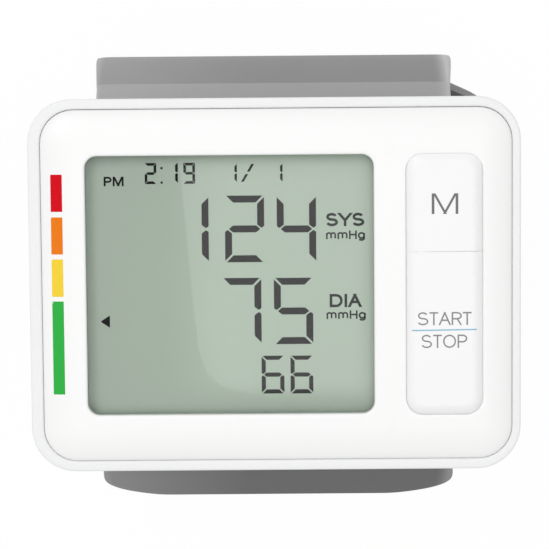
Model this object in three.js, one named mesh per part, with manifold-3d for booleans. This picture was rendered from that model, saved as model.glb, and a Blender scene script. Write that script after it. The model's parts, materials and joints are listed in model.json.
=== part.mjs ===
import * as THREE from "three";
import { mergeVertices } from "three/addons/utils/BufferGeometryUtils.js";
import Module from "manifold-3d";

// Wrist blood pressure monitor in millimetres. The display faces +Z, +X is to its right and
// +Y towards its top edge. The curled cuff rests on Z = 0 and its loop lies in the YZ plane.

// Display face
const windowWidth = 47;
const windowHeight = 42.1;
const windowCorner = 2;
const windowLeftMargin = 9.1;
const windowEndMargin = 9.4;
const windowToButtons = 5.2;
const buttonWidth = 12.4;
const buttonCorner = 2.8;
const buttonInnerCorner = 0.4;
const buttonRightMargin = 6.3;
const memoryLength = 16;
const startLength = 26.5;
const buttonProud = 0.35;
const buttonEdge = 1.2;
const buttonTravel = 0.4;
const buttonFlange = 0.8;
const buttonFlangeThickness = 1.2;

// Housing and front panel
const bodyCorner = 7.2;
const wall = 2.6;
const floorThickness = 2;
const rimWidth = 1.55;
const rimEdge = 0.6;
const rearInset = 6;
const rearRound = 6;
const sideDraft = 1.2;
const draftHeight = 9;
const panelGap = 0.2;
const panelWall = 1.6;
const panelThickness = 1.8;
const panelSkirt = 4;
const panelDip = 0.2;
const crownHeight = 1.4;
const crownWidth = 5;
const crownMiddle = 0.2;
const windowRecess = 0.7;

// Display stack and boards
const windowPlateThickness = 1.2;
const windowLip = 0.8;
const glassThickness = 0.7;
const glassMargin = 0.8;
const reflectorThickness = 0.3;
const displayStand = 2;
const frameWall = 0.7;
const frameLedge = 1;
const contactLedge = 2.6;
const contactStripWidth = 1.8;
const boardThickness = 1.2;
const boardMargin = 0.8;
const chipSize = 9;
const chipThickness = 1.2;
const switchSize = 6;
const switchHeight = 2.2;
const plungerRadius = 1.6;
const plungerBase = 1;

// Air system
const pumpRadius = 5.2;
const motorLength = 15;
const pumpHeadLength = 10;
const pumpSetback = 10;
const pumpOffset = 14.5;
const pumpFlat = 4.6;
const padThickness = 1;
const padMargin = 2;
const valveRadius = 4.2;
const valveLength = 12;
const manifoldSize = 7;
const manifoldHeight = 6;
const manifoldOffset = 6.5;
const sensorSize = 7;
const sensorHeight = 3.2;
const sensorOffset = 16;
const sensorSetback = 10.3;
const nippleRadius = 1;
const nippleLength = 3;
const hoseRadius = 1.9;
const hoseBore = 1.25;

// Batteries
const cellRadius = 5.25;
const cellLength = 44.5;
const cellNubLength = 1;
const cellNubRadius = 1.9;
const cellSpacing = 0.6;
const contactThickness = 0.4;
const contactRoom = 2;
const bayWall = 1.4;
const coverTabLength = 3;
const coverTabThickness = 1;
const gripDepth = 0.4;
const gripPitch = 1.8;
const gripLength = 14;

// Screws and posts
const postRadius = 1.7;
const screwRadius = 0.75;
const screwHoleRadius = 0.9;
const screwHeadRadius = 1.5;
const screwHeadHeight = 1.2;
const screwLength = 9;
const postFoot = 4;
const postSplit = 9;
const rearPostX = 30.5;
const standRadius = 1.5;
const cuffScrewLength = 4.6;
const cuffScrewHeadHeight = 0.8;
const cuffScrewHeadRadius = 1.5;
const cuffScrewLeftX = -24;
const cuffScrewRightX = 3;
const cuffScrewY = 7;
const cuffBossHeight = 2.5;
const cuffBossRadius = 2.2;

// Cuff
const loopHeight = 57;
const loopReach = 36.9;
const footLength = 28;
const baseFlat = 28;
const baseRadius = 23.8;
const baseSweep = THREE.MathUtils.degToRad(50);
const cuffWidth = 61.3;
const coverThickness = 1.2;
const bandThickness = 3.8;
const baseThickness = 6.8;
const cuffEdge = 1.1;
const liningThickness = 1;
const plateThickness = 1.6;
const plateInset = 4;
const bladderInset = 5;
const bladderShare = 0.5;
const wingThickness = 0.45;
const wingShare = 0.55;
const curlerThickness = 0.6;
const curlerInset = 4;
const hingeGap = 1;
const armSpread = 1.25;
const armFlare = 7.8;
const flareStart = 36;
const flareRise = 11;
const armCorner = 8;
const armEndAngle = THREE.MathUtils.degToRad(24);
const tongueLength = 21.5;
const tongueSlope = THREE.MathUtils.degToRad(58);
const tongueSpread = 0.9;
const tongueCorner = 11.5;
const tuckGap = 2;
const hookThickness = 1.2;
const hookInset = 5;
const portRadius = 1.9;
const portBore = 0.8;
const portFlangeRadius = 4;
const portBossRadius = 4.5;
const portBossHeight = 1.1;
const portReach = 2.2;
const sealRadius = 0.8;

// Clearances and mesh fineness
const gap = 0.3;
const filmGap = 0.05;
const layerGap = 0.2;
const cornerSteps = 6;
const edgeSteps = 5;
const roundSides = 16;
const hoseSides = 8;
const leastCorner = 1;

// Places that follow from the sizes above
const bodyWidth = windowLeftMargin + windowWidth + windowToButtons + buttonWidth + buttonRightMargin;
const buttonsLength = memoryLength + startLength + gap;
const bayHalf = cellLength / 2 + contactRoom;
const faceHeight = windowHeight + 2 * windowEndMargin;
const contactReach = cellRadius - 1;
const windowX = -bodyWidth / 2 + windowLeftMargin + windowWidth / 2;
const buttonX = bodyWidth / 2 - buttonRightMargin - buttonWidth / 2;
const rearZ = loopHeight;
const floorZ = rearZ + floorThickness;
const cellAxisZ = floorZ + gap + cellRadius;
const pumpAxisZ = floorZ + 2 * gap + padThickness + pumpRadius;
const boardZ = Math.max(pumpAxisZ + pumpRadius, cellAxisZ + cellRadius) + 2 * gap;
const boardTopZ = boardZ + boardThickness;
const displayZ = boardTopZ + gap + displayStand;
const rearGlassZ = displayZ + reflectorThickness + filmGap;
const frontGlassZ = rearGlassZ + glassThickness + filmGap;
const displayTopZ = frontGlassZ + glassThickness;
const windowZ = displayTopZ + gap;
const ceilingZ = windowZ + windowPlateThickness + filmGap;
const panelTopZ = ceilingZ + panelThickness;
const panelEdgeZ = panelTopZ - crownHeight;
const rimZ = panelEdgeZ + panelDip;
const ledgeZ = rimZ - panelSkirt;
const waistZ = rearZ + rearRound + draftHeight;
const postTopZ = floorZ + postSplit;
const baseZ = rearZ - gap;

// How far the housing's outline is drawn in at a height
function housingInset(z) {
  const rise = z - rearZ;
  if (rise < rearRound) {
    const angle = Math.acos(1 - Math.max(rise, 0) / rearRound);
    return sideDraft + (rearInset - sideDraft) * (1 - Math.sin(angle));
  }
  return Math.max(0, sideDraft * (1 - (rise - rearRound) / draftHeight));
}

const bayHeight = 2 * (bayHalf + housingInset(cellAxisZ - contactReach) + wall);
const bodyHeight = Math.max(faceHeight, bayHeight);
const postY = bodyHeight / 2 - sideDraft - wall - gap - postRadius;
const cellRightX = bodyWidth / 2 - housingInset(cellAxisZ) - wall - gap - cellRadius;
const cellLeftX = cellRightX - 2 * cellRadius - cellSpacing;
const bayRightX = bodyWidth / 2 - housingInset(cellAxisZ) - wall;
const bayLeftX = cellLeftX - cellRadius - gap;
const bayTopZ = cellAxisZ + cellRadius + gap;
const contactRightX = bayRightX - coverTabLength - gap;
const partitionX = bayLeftX - bayWall;
const manifoldX = partitionX - manifoldOffset;
const pumpX = -bodyWidth / 2 + pumpSetback;
const innerPostX = partitionX - 2 * screwHeadRadius - gap;
const standX = partitionX - standRadius - gap;
const postPlaces = [
  [-rearPostX, postY],
  [-rearPostX, -postY],
  [innerPostX, postY],
  [innerPostX, -postY],
];
const cuffScrewPlaces = [
  [cuffScrewLeftX, cuffScrewY],
  [cuffScrewLeftX, -cuffScrewY],
  [cuffScrewRightX, cuffScrewY],
  [cuffScrewRightX, -cuffScrewY],
];

// Finishes
const whitePlastic = { color: 0xf3f3f1, roughness: 0.38, metalness: 0 };
const rimPlastic = { color: 0xe6e7e6, roughness: 0.45, metalness: 0 };
const buttonPlastic = { color: 0xececea, roughness: 0.4, metalness: 0 };
const clearPlastic = { color: 0xdfe6e2, roughness: 0.06, metalness: 0 };
const displayGlass = { color: 0xb0bbb0, roughness: 0.15, metalness: 0 };
const silverFilm = { color: 0xc8ccc8, roughness: 0.4, metalness: 0.2 };
const darkPlastic = { color: 0x3b3d3f, roughness: 0.5, metalness: 0 };
const boardGreen = { color: 0x1f5a3a, roughness: 0.5, metalness: 0 };
const steel = { color: 0xb7babd, roughness: 0.32, metalness: 1 };
const blackRubber = { color: 0x2a2a2b, roughness: 0.8, metalness: 0 };
const greyFoam = { color: 0x6b6d6e, roughness: 0.95, metalness: 0 };
const clearHose = { color: 0xcfd2cf, roughness: 0.35, metalness: 0 };
const cellWrap = { color: 0x39424c, roughness: 0.35, metalness: 0.2 };
const lightFabric = { color: 0xa3a3a2, roughness: 0.92, metalness: 0 };
const greyFabric = { color: 0x8a8a8a, roughness: 0.92, metalness: 0 };
const liningFabric = { color: 0x5b5c5d, roughness: 0.95, metalness: 0 };
const bladderFilm = { color: 0x8d9499, roughness: 0.5, metalness: 0 };

const wasm = await Module();
wasm.setup();

function at(x, y, z) {
  return new THREE.Vector3(x, y, z);
}

// A closed geometry as a solid for cutting and joining
function solidFrom(geometry) {
  const bare = geometry.clone();
  bare.deleteAttribute("normal");
  bare.deleteAttribute("uv");
  const merged = mergeVertices(bare, 1e-4);
  const vertProperties = new Float32Array(merged.attributes.position.array);
  const triVerts = new Uint32Array(merged.index.array);
  return new wasm.Manifold(new wasm.Mesh({ numProp: 3, vertProperties, triVerts }));
}

// Six times the volume that a list of triangles encloses
function enclosed(points, faces) {
  let total = 0;
  for (let i = 0; i < faces.length; i += 3) {
    const side = points[faces[i + 1]].clone().cross(points[faces[i + 2]]);
    total += points[faces[i]].dot(side);
  }
  return total;
}

// Skin over a row of rings with equal point counts, closed by flat ends
function loft(rings, outline) {
  const count = outline.length;
  const points = rings.flat();
  const faces = [];
  for (let ring = 0; ring + 1 < rings.length; ring += 1) {
    for (let i = 0; i < count; i += 1) {
      const a = ring * count + i;
      const b = ring * count + ((i + 1) % count);
      faces.push(a, b, b + count, a, b + count, a + count);
    }
  }
  const last = points.length - count;
  for (const [a, b, c] of THREE.ShapeUtils.triangulateShape(outline, [])) {
    faces.push(c, b, a, last + a, last + b, last + c);
  }
  const geometry = new THREE.BufferGeometry().setFromPoints(points);
  geometry.setIndex(enclosed(points, faces) < 0 ? faces.reverse() : faces);
  return solidFrom(geometry);
}

// Rounded rectangle; radii run bottom right, top right, top left, bottom left
function roundedOutline(left, right, bottom, top, radii) {
  const centres = [
    [right - radii[0], bottom + radii[0]],
    [right - radii[1], top - radii[1]],
    [left + radii[2], top - radii[2]],
    [left + radii[3], bottom + radii[3]],
  ];
  const outline = [];
  centres.forEach(([x, y], corner) => {
    for (let k = 0; k <= cornerSteps; k += 1) {
      const angle = (Math.PI / 2) * (corner - 1 + k / cornerSteps);
      const reach = radii[corner];
      outline.push(new THREE.Vector2(x + reach * Math.cos(angle), y + reach * Math.sin(angle)));
    }
  });
  return outline;
}

// Outlines stacked along Z
function stack(levels) {
  const rings = levels.map(({ z, outline }) => outline.map((p) => at(p.x, p.y, z)));
  return loft(rings, levels[0].outline);
}

function slab(outline, lowZ, highZ) {
  return stack([
    { z: lowZ, outline },
    { z: highZ, outline },
  ]);
}

function box(left, right, bottom, top, lowZ, highZ) {
  const geometry = new THREE.BoxGeometry(right - left, top - bottom, highZ - lowZ);
  geometry.translate((left + right) / 2, (bottom + top) / 2, (lowZ + highZ) / 2);
  return solidFrom(geometry);
}

// Turns a shape that stands on the origin along Y so that it runs from a point towards another
function stand(geometry, from, to) {
  const along = to.clone().sub(from).normalize();
  geometry.applyQuaternion(new THREE.Quaternion().setFromUnitVectors(at(0, 1, 0), along));
  geometry.translate(from.x, from.y, from.z);
  return solidFrom(geometry);
}

function rod(radius, from, to, sides = roundSides) {
  const length = from.distanceTo(to);
  const geometry = new THREE.CylinderGeometry(radius, radius, length, sides);
  geometry.translate(0, length / 2, 0);
  return stand(geometry, from, to);
}

// Turned piece; the profile lists radius and distance along the axis
function turned(profile, from, to) {
  const points = profile.map(([radius, along]) => new THREE.Vector2(radius, along));
  return stand(new THREE.LatheGeometry(points, roundSides), from, to);
}

// Hollow hose through a row of points
function hose(points) {
  const ring = (radius) => {
    const path = new THREE.Path();
    for (let i = 0; i < hoseSides; i += 1) {
      const angle = (2 * Math.PI * i) / hoseSides;
      const [x, y] = [radius * Math.cos(angle), radius * Math.sin(angle)];
      if (i === 0) path.moveTo(x, y);
      else path.lineTo(x, y);
    }
    path.closePath();
    return path;
  };
  const shape = new THREE.Shape(ring(hoseRadius).getPoints());
  shape.holes.push(ring(hoseBore));
  const extrudePath = new THREE.CatmullRomCurve3(points, false, "centripetal");
  return solidFrom(new THREE.ExtrudeGeometry(shape, { steps: 12, extrudePath, curveSegments: 1 }));
}

function joined(solids) {
  return solids.reduce((whole, solid) => whole.add(solid));
}

function cut(solid, tools) {
  return tools.reduce((rest, tool) => rest.subtract(tool), solid);
}

function addPart(group, name, solid, finish) {
  const { vertProperties, triVerts } = solid.getMesh();
  const geometry = new THREE.BufferGeometry();
  geometry.setAttribute("position", new THREE.Float32BufferAttribute(vertProperties, 3));
  geometry.setIndex(new THREE.Uint32BufferAttribute(triVerts, 1));
  geometry.computeVertexNormals();
  const part = new THREE.Mesh(geometry, new THREE.MeshStandardMaterial(finish));
  part.name = name;
  group.add(part);
  return part;
}

function bodyOutline(inset) {
  const x = bodyWidth / 2 - inset;
  const y = bodyHeight / 2 - inset;
  const r = Math.max(bodyCorner - inset, leastCorner);
  return roundedOutline(-x, x, -y, y, [r, r, r, r]);
}

function bodyLevel(z, inset) {
  return { z, outline: bodyOutline(inset) };
}

// Outside of the housing: flat rear, round rear edge, drafted sides, eased rim
function housingForm() {
  const levels = [];
  for (let k = 0; k <= edgeSteps; k += 1) {
    const z = rearZ + rearRound * (1 - Math.cos((Math.PI / 2) * (k / edgeSteps)));
    levels.push(bodyLevel(z, housingInset(z)));
  }
  levels.push(bodyLevel(waistZ, 0));
  for (const angle of [0, 0.5, 1]) {
    const turn = (Math.PI / 2) * angle;
    levels.push(bodyLevel(rimZ - rimEdge * (1 - Math.sin(turn)), rimEdge * (1 - Math.cos(turn))));
  }
  return stack(levels);
}

// Room inside the housing below the panel's ledge
function housingRoom() {
  const heights = [floorZ, floorZ + 1.5, rearZ + rearRound, waistZ, ledgeZ + gap];
  return stack(heights.map((z) => bodyLevel(z, housingInset(z) + wall)));
}

function panelPocket() {
  return stack([bodyLevel(ledgeZ, rimWidth), bodyLevel(rimZ + 1, rimWidth)]);
}

// Opening in the right side that the battery cover closes
function coverOpening(clearance) {
  const y = bayHalf - clearance;
  const low = floorZ - floorThickness / 2 + clearance;
  return box(bayRightX - wall + clearance, bodyWidth, -y, y, low, bayTopZ - clearance);
}

function buildHousing(form, room) {
  const posts = postPlaces.map(([x, y]) => {
    const foot = rearZ + rearRound / 2;
    return rod(screwHeadRadius + 2 * gap, at(x, y, foot), at(x, y, postTopZ)).intersect(form);
  });
  const stands = [-bodyWidth / 2 + wall + 4.4, standX].flatMap((x) => {
    const y = postY - postRadius - standRadius - gap;
    return [y, -y].map((side) => rod(standRadius, at(x, side, rearZ + 1), at(x, side, boardZ - gap)));
  });
  const bosses = cuffScrewPlaces.map(([x, y]) => {
    return rod(cuffBossRadius, at(x, y, rearZ + 1), at(x, y, floorZ + cuffBossHeight));
  });
  const portBossZ = floorZ + portBossHeight;
  const portBoss = rod(portBossRadius, at(manifoldX, 0, rearZ + 1), at(manifoldX, 0, portBossZ));
  const partition = box(partitionX, bayLeftX, -bayHalf - bayWall, bayHalf + bayWall, rearZ + 1, bayTopZ);
  const ends = [bayHalf, -bayHalf - bayWall].map((y) => {
    return box(partitionX, bodyWidth / 2, y, y + bayWall, rearZ + 1, bayTopZ).intersect(form);
  });
  const shell = cut(form, [room, panelPocket()]);
  const whole = joined([shell, ...posts, ...stands, ...bosses, portBoss, partition, ...ends]);
  const headSeatZ = rearZ + postFoot;
  const screwHoles = postPlaces.flatMap(([x, y]) => [
    rod(screwHoleRadius, at(x, y, rearZ - 1), at(x, y, rimZ)),
    rod(screwHeadRadius + gap, at(x, y, rearZ - 1), at(x, y, headSeatZ)),
  ]);
  const cuffHoles = cuffScrewPlaces.map(([x, y]) => {
    return rod(screwHoleRadius, at(x, y, rearZ - 1), at(x, y, boardZ));
  });
  const portHole = rod(portRadius + gap, at(manifoldX, 0, rearZ - 1), at(manifoldX, 0, boardZ));
  return cut(whole, [coverOpening(0), ...screwHoles, ...cuffHoles, portHole]);
}

// Battery cover: the piece of the right side that closes the bay, with guide tabs and grip grooves
function buildBatteryCover(form, room) {
  const shell = form.intersect(coverOpening(gap)).subtract(room);
  const tabs = [bayHalf - gap - coverTabThickness, -bayHalf + gap].map((y) => {
    const low = cellAxisZ - coverTabThickness;
    const high = cellAxisZ + coverTabThickness;
    return box(bayRightX - coverTabLength, bayRightX + 1, y, y + coverTabThickness, low, high);
  });
  const grooves = [-1, 0, 1].map((step) => {
    const z = cellAxisZ + step * gripPitch;
    const x = bodyWidth / 2 - housingInset(z) + gripDepth;
    return rod(2 * gripDepth, at(x, -gripLength / 2, z), at(x, gripLength / 2, z), 10);
  });
  return cut(joined([shell, ...tabs]), grooves);
}

// Crowned front panel: a skirt inside the rim, edges that roll down, a nearly flat middle
function panelLevels() {
  const inset = rimWidth + panelGap;
  const levels = [bodyLevel(ledgeZ + gap, inset)];
  const roll = crownHeight - crownMiddle;
  for (let k = 0; k <= edgeSteps; k += 1) {
    const angle = (Math.PI / 2) * (k / edgeSteps);
    const z = panelEdgeZ + roll * Math.sin(angle);
    levels.push(bodyLevel(z, inset + crownWidth * (1 - Math.cos(angle))));
  }
  levels.push(bodyLevel(panelTopZ, inset + 3 * crownWidth));
  return levels;
}

function windowOutline(grow) {
  const x = windowWidth / 2 + grow;
  const y = windowHeight / 2 + grow;
  const r = Math.max(windowCorner + grow, leastCorner);
  return roundedOutline(windowX - x, windowX + x, -y, y, [r, r, r, r]);
}

function buildPanel() {
  const inside = rimWidth + panelGap + panelWall;
  const room = stack([bodyLevel(ledgeZ - 1, inside), bodyLevel(ceilingZ, inside)]);
  const posts = postPlaces.map(([x, y]) => {
    return rod(postRadius, at(x, y, postTopZ + gap), at(x, y, ceilingZ + panelThickness / 4));
  });
  const holeTop = postTopZ + gap + screwLength;
  const holes = postPlaces.map(([x, y]) => rod(screwHoleRadius, at(x, y, postTopZ), at(x, y, holeTop)));
  const x = buttonWidth / 2 + gap;
  const y = buttonsLength / 2 + gap;
  const r = buttonCorner + gap;
  const buttonOpening = roundedOutline(buttonX - x, buttonX + x, -y, y, [r, r, r, r]);
  const openings = [
    slab(windowOutline(0), ceilingZ - 1, panelTopZ + 1),
    slab(buttonOpening, ceilingZ - 1, panelTopZ + 1),
  ];
  return cut(joined([stack(panelLevels()).subtract(room), ...posts]), [...holes, ...openings]);
}

// Clear window: a plate behind the panel with a raised middle that fills the opening
function buildWindow() {
  const plate = slab(windowOutline(windowLip), windowZ, windowZ + windowPlateThickness);
  const middle = slab(windowOutline(-layerGap), windowZ, panelTopZ - windowRecess);
  return plate.add(middle);
}

function glassPlate(lowZ, contactShort) {
  const x = windowWidth / 2 + glassMargin;
  const y = windowHeight / 2 + glassMargin;
  return box(windowX - x, windowX + x, -y + contactShort, y, lowZ, lowZ + glassThickness);
}

function addDisplay(group) {
  const x = windowWidth / 2 + glassMargin;
  const y = windowHeight / 2 + glassMargin;
  addPart(group, "display_window", buildWindow(), clearPlastic);
  addPart(group, "lcd_front_plate", glassPlate(frontGlassZ, 0), displayGlass);
  addPart(group, "lcd_rear_plate", glassPlate(rearGlassZ, contactLedge), displayGlass);
  const film = box(windowX - x, windowX + x, -y + contactLedge, y, displayZ, displayZ + reflectorThickness);
  addPart(group, "lcd_reflector", film, silverFilm);
  const frameX = x + layerGap + frameWall;
  const frameY = y + layerGap + frameWall;
  const seatX = x + layerGap;
  const seatY = y + layerGap;
  const openX = x - frameLedge;
  const openY = y - frameLedge;
  const stripX = openX - frameLedge;
  const stripLow = -y + gap;
  const stripHigh = stripLow + contactStripWidth;
  const frameZ = boardTopZ + filmGap;
  const frame = cut(box(windowX - frameX, windowX + frameX, -frameY, frameY, frameZ, displayTopZ), [
    box(windowX - seatX, windowX + seatX, -seatY, seatY, displayZ - filmGap, displayTopZ + 1),
    box(windowX - openX, windowX + openX, -openY, openY, boardTopZ - 1, displayTopZ + 1),
    box(windowX - openX, windowX + openX, stripLow - layerGap, stripHigh, boardTopZ - 1, displayTopZ + 1),
  ]);
  addPart(group, "lcd_frame", frame, darkPlastic);
  const stripTop = frontGlassZ - filmGap;
  const strip = box(windowX - stripX, windowX + stripX, stripLow, stripHigh, boardTopZ + filmGap, stripTop);
  addPart(group, "lcd_contact_strip", strip, blackRubber);
}

const buttonCaps = [
  { name: "memory", low: buttonsLength / 2 - memoryLength, high: buttonsLength / 2, upper: true },
  { name: "start_stop", low: -buttonsLength / 2, high: -buttonsLength / 2 + startLength, upper: false },
];

function capOutline({ low, high, upper }, inset) {
  const outer = Math.max(buttonCorner - inset, leastCorner);
  const inner = buttonInnerCorner;
  const x = buttonWidth / 2 - inset;
  const radii = upper ? [inner, outer, outer, inner] : [outer, inner, inner, outer];
  return roundedOutline(buttonX - x, buttonX + x, low + inset, high - inset, radii);
}

// Button cap: rounded top edges, a straight neck and a retaining flange below the panel
function buildCap(cap) {
  const topZ = panelTopZ + buttonProud;
  const flangeZ = ceilingZ - gap - buttonFlangeThickness;
  const levels = [{ z: flangeZ, outline: capOutline(cap, 0) }];
  const fall = buttonEdge * 0.7;
  for (let k = 0; k <= edgeSteps; k += 1) {
    const angle = (Math.PI / 2) * (k / edgeSteps);
    const inset = buttonEdge * (1 - Math.cos(angle));
    levels.push({ z: topZ - fall * (1 - Math.sin(angle)), outline: capOutline(cap, inset) });
  }
  const x = buttonWidth / 2 + buttonFlange;
  const low = cap.upper ? cap.low : cap.low - buttonFlange;
  const high = cap.upper ? cap.high + buttonFlange : cap.high;
  const flange = box(buttonX - x, buttonX + x, low, high, flangeZ, flangeZ + buttonFlangeThickness);
  return stack(levels).add(flange);
}

function addButtons(group) {
  const plungerTopZ = ceilingZ - 2 * gap - buttonFlangeThickness;
  for (const cap of buttonCaps) {
    const y = (cap.low + cap.high) / 2;
    addPart(group, `${cap.name}_button`, buildCap(cap), buttonPlastic);
    const half = switchSize / 2;
    const bodyZ = boardTopZ + filmGap;
    const wellZ = bodyZ + plungerBase - buttonTravel - gap;
    const body = box(buttonX - half, buttonX + half, y - half, y + half, bodyZ, bodyZ + switchHeight);
    const wellTop = bodyZ + switchHeight + 1;
    const well = rod(plungerRadius + layerGap, at(buttonX, y, wellZ), at(buttonX, y, wellTop));
    addPart(group, `${cap.name}_switch`, body.subtract(well), darkPlastic);
    const plunger = rod(plungerRadius, at(buttonX, y, bodyZ + plungerBase), at(buttonX, y, plungerTopZ));
    addPart(group, `${cap.name}_plunger`, plunger, buttonPlastic);
  }
}

function addBoard(group) {
  const x = bodyWidth / 2 - wall - boardMargin;
  const y = postY - postRadius - 2 * gap;
  const r = windowCorner;
  const board = slab(roundedOutline(-x, x, -y, y, [r, r, r, r]), boardZ, boardTopZ);
  addPart(group, "main_board", board, boardGreen);
  const half = chipSize / 2;
  const chipZ = boardTopZ + filmGap;
  const chip = box(windowX - half, windowX + half, -half, half, chipZ, chipZ + chipThickness);
  addPart(group, "controller_chip", chip, darkPlastic);
}

function addAirSystem(group) {
  const headX = pumpX + motorLength + gap;
  const headEnd = headX + pumpHeadLength;
  const y = pumpOffset;
  const z = pumpAxisZ;
  const can = rod(pumpRadius, at(pumpX, y, z), at(pumpX + motorLength, y, z));
  const flats = box(pumpX - 1, headX, y - pumpFlat, y + pumpFlat, z - pumpRadius, z + pumpRadius);
  addPart(group, "pump_motor", can.intersect(flats), steel);
  const head = turned(
    [
      [0, 0],
      [pumpRadius, 0],
      [pumpRadius, pumpHeadLength - 3],
      [pumpRadius - 1, pumpHeadLength],
      [nippleRadius, pumpHeadLength],
      [nippleRadius, pumpHeadLength + nippleLength],
      [0, pumpHeadLength + nippleLength],
    ],
    at(headX, y, z),
    at(headEnd, y, z),
  );
  addPart(group, "pump_head", head, darkPlastic);
  const padX = [pumpX + padMargin, headEnd - padMargin];
  const pad = box(padX[0], padX[1], y - pumpFlat, y + pumpFlat, floorZ + gap, floorZ + gap + padThickness);
  addPart(group, "pump_pad", pad, greyFoam);
  const valveEnd = pumpX + valveLength;
  const valve = turned(
    [
      [0, 0],
      [valveRadius, 0],
      [valveRadius, valveLength - 2],
      [valveRadius - 1, valveLength - 2],
      [valveRadius - 1, valveLength],
      [nippleRadius, valveLength],
      [nippleRadius, valveLength + nippleLength],
      [0, valveLength + nippleLength],
    ],
    at(pumpX, -y, z),
    at(valveEnd, -y, z),
  );
  addPart(group, "release_valve", valve, steel);
  addManifold(group, headEnd, valveEnd);
}

// Air manifold over the cuff port, the pressure sensor and the three hoses between them
function addManifold(group, headEnd, valveEnd) {
  const half = manifoldSize / 2;
  const z = pumpAxisZ;
  const x = manifoldX;
  const lowZ = floorZ + portBossHeight + 2 * gap + 2 * sealRadius;
  const block = box(x - half, x + half, -half, half, lowZ, lowZ + manifoldHeight);
  const ends = [
    [at(x, half - 1, z), at(x, half + nippleLength, z)],
    [at(x, 1 - half, z), at(x, -half - nippleLength, z)],
    [at(x - half + 1, 0, z), at(x - half - nippleLength, 0, z)],
  ];
  const nipples = ends.map(([from, to]) => rod(nippleRadius, from, to));
  const socketTop = lowZ + portReach + gap;
  const socket = rod(portRadius + gap, at(x, 0, lowZ - 1), at(x, 0, socketTop));
  addPart(group, "air_manifold", joined([block, ...nipples]).subtract(socket), whitePlastic);

  const sensorX = x - sensorSetback;
  const sensorHalf = sensorSize / 2;
  const sensorTop = boardZ - gap / 2;
  const sensorLow = sensorTop - sensorHeight;
  const sensorZ = sensorTop - hoseRadius - gap;
  const right = sensorX + sensorHalf;
  const near = -sensorOffset - sensorHalf;
  const far = -sensorOffset + sensorHalf;
  const body = box(sensorX - sensorHalf, right, near, far, sensorLow, sensorTop);
  const portEnd = at(right + nippleLength, -sensorOffset, sensorZ);
  const port = rod(nippleRadius, at(right - 1, -sensorOffset, sensorZ), portEnd);
  addPart(group, "pressure_sensor", body.add(port), darkPlastic);

  const y = pumpOffset;
  const bend = x - headEnd - nippleLength;
  const pumpRun = [
    at(headEnd + gap, y, z),
    at(headEnd + nippleLength, y, z),
    at(x - 0.35 * bend, y - 0.12 * y, z),
    at(x, half + nippleLength + 2, z),
    at(x, half + gap, z),
  ];
  addPart(group, "pump_hose", hose(pumpRun), clearHose);
  const left = x - half;
  const reach = left - valveEnd;
  const valveRun = [
    at(valveEnd + gap, -y, z),
    at(valveEnd + nippleLength, -y, z),
    at(valveEnd + 0.45 * reach, -0.72 * y, z),
    at(valveEnd + 0.66 * reach, -0.2 * y, z),
    at(left - nippleLength, 0, z),
    at(left - gap, 0, z),
  ];
  addPart(group, "valve_hose", hose(valveRun), clearHose);
  const sensorRun = [
    at(right + gap, -sensorOffset, sensorZ),
    portEnd,
    at(x - 0.4, -sensorOffset * 0.78, (sensorZ + z) / 2),
    at(x, -half - nippleLength, z),
    at(x, -half - gap, z),
  ];
  addPart(group, "sensor_hose", hose(sensorRun), clearHose);
}

// Cell standing on the origin along its axis, negative end first
function cellSolid(x, direction) {
  const barrel = cellLength - cellNubLength;
  const profile = [
    [0, 0],
    [cellRadius - 0.4, 0],
    [cellRadius, 0.4],
    [cellRadius, barrel - 0.4],
    [cellRadius - 0.4, barrel],
    [cellNubRadius, barrel],
    [cellNubRadius, cellLength],
    [0, cellLength],
  ];
  const from = at(x, (-direction * cellLength) / 2, cellAxisZ);
  return turned(profile, from, at(x, (direction * cellLength) / 2, cellAxisZ));
}

// Sprung leaf that bears on a cell's negative end; side is the bay end it stands at
function leaf(x, side) {
  const root = side * (bayHalf - gap - contactThickness);
  const tip = side * (cellLength / 2 + gap);
  const shape = new THREE.Shape([
    new THREE.Vector2(x - cellRadius * 0.7, root),
    new THREE.Vector2(x, tip),
    new THREE.Vector2(x + cellRadius * 0.3, (root + tip) / 2),
    new THREE.Vector2(x, tip + side * contactThickness),
    new THREE.Vector2(x - cellRadius * 0.3, root),
  ]);
  const geometry = new THREE.ExtrudeGeometry(shape, { depth: cellRadius, bevelEnabled: false });
  geometry.translate(0, 0, cellAxisZ - cellRadius / 2);
  return solidFrom(geometry);
}

// Contact plate at one end of the bay, from one X to another
function contactPlate(left, right, side) {
  const near = side * (bayHalf - gap - contactThickness);
  const far = side * (bayHalf - gap);
  const low = cellAxisZ - contactReach;
  const high = cellAxisZ + contactReach;
  return box(left, right, Math.min(near, far), Math.max(near, far), low, high);
}

function contactBump(x, side) {
  const root = side * (bayHalf - gap);
  return rod(cellNubRadius, at(x, root, cellAxisZ), at(x, side * (cellLength / 2 + gap), cellAxisZ));
}

function addBatteries(group) {
  addPart(group, "battery_1", cellSolid(cellLeftX, 1), cellWrap);
  addPart(group, "battery_2", cellSolid(cellRightX, -1), cellWrap);
  const reach = cellRadius - 0.8;
  const bridge = [
    contactPlate(cellLeftX - reach, contactRightX, 1),
    contactBump(cellLeftX, 1),
    leaf(cellRightX, 1),
  ];
  addPart(group, "battery_bridge", joined(bridge), steel);
  const negative = [contactPlate(cellLeftX - reach, cellLeftX + reach, -1), leaf(cellLeftX, -1)];
  addPart(group, "battery_contact_negative", joined(negative), steel);
  const positive = [contactPlate(cellRightX - reach, contactRightX, -1), contactBump(cellRightX, -1)];
  addPart(group, "battery_contact_positive", joined(positive), steel);
}

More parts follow.
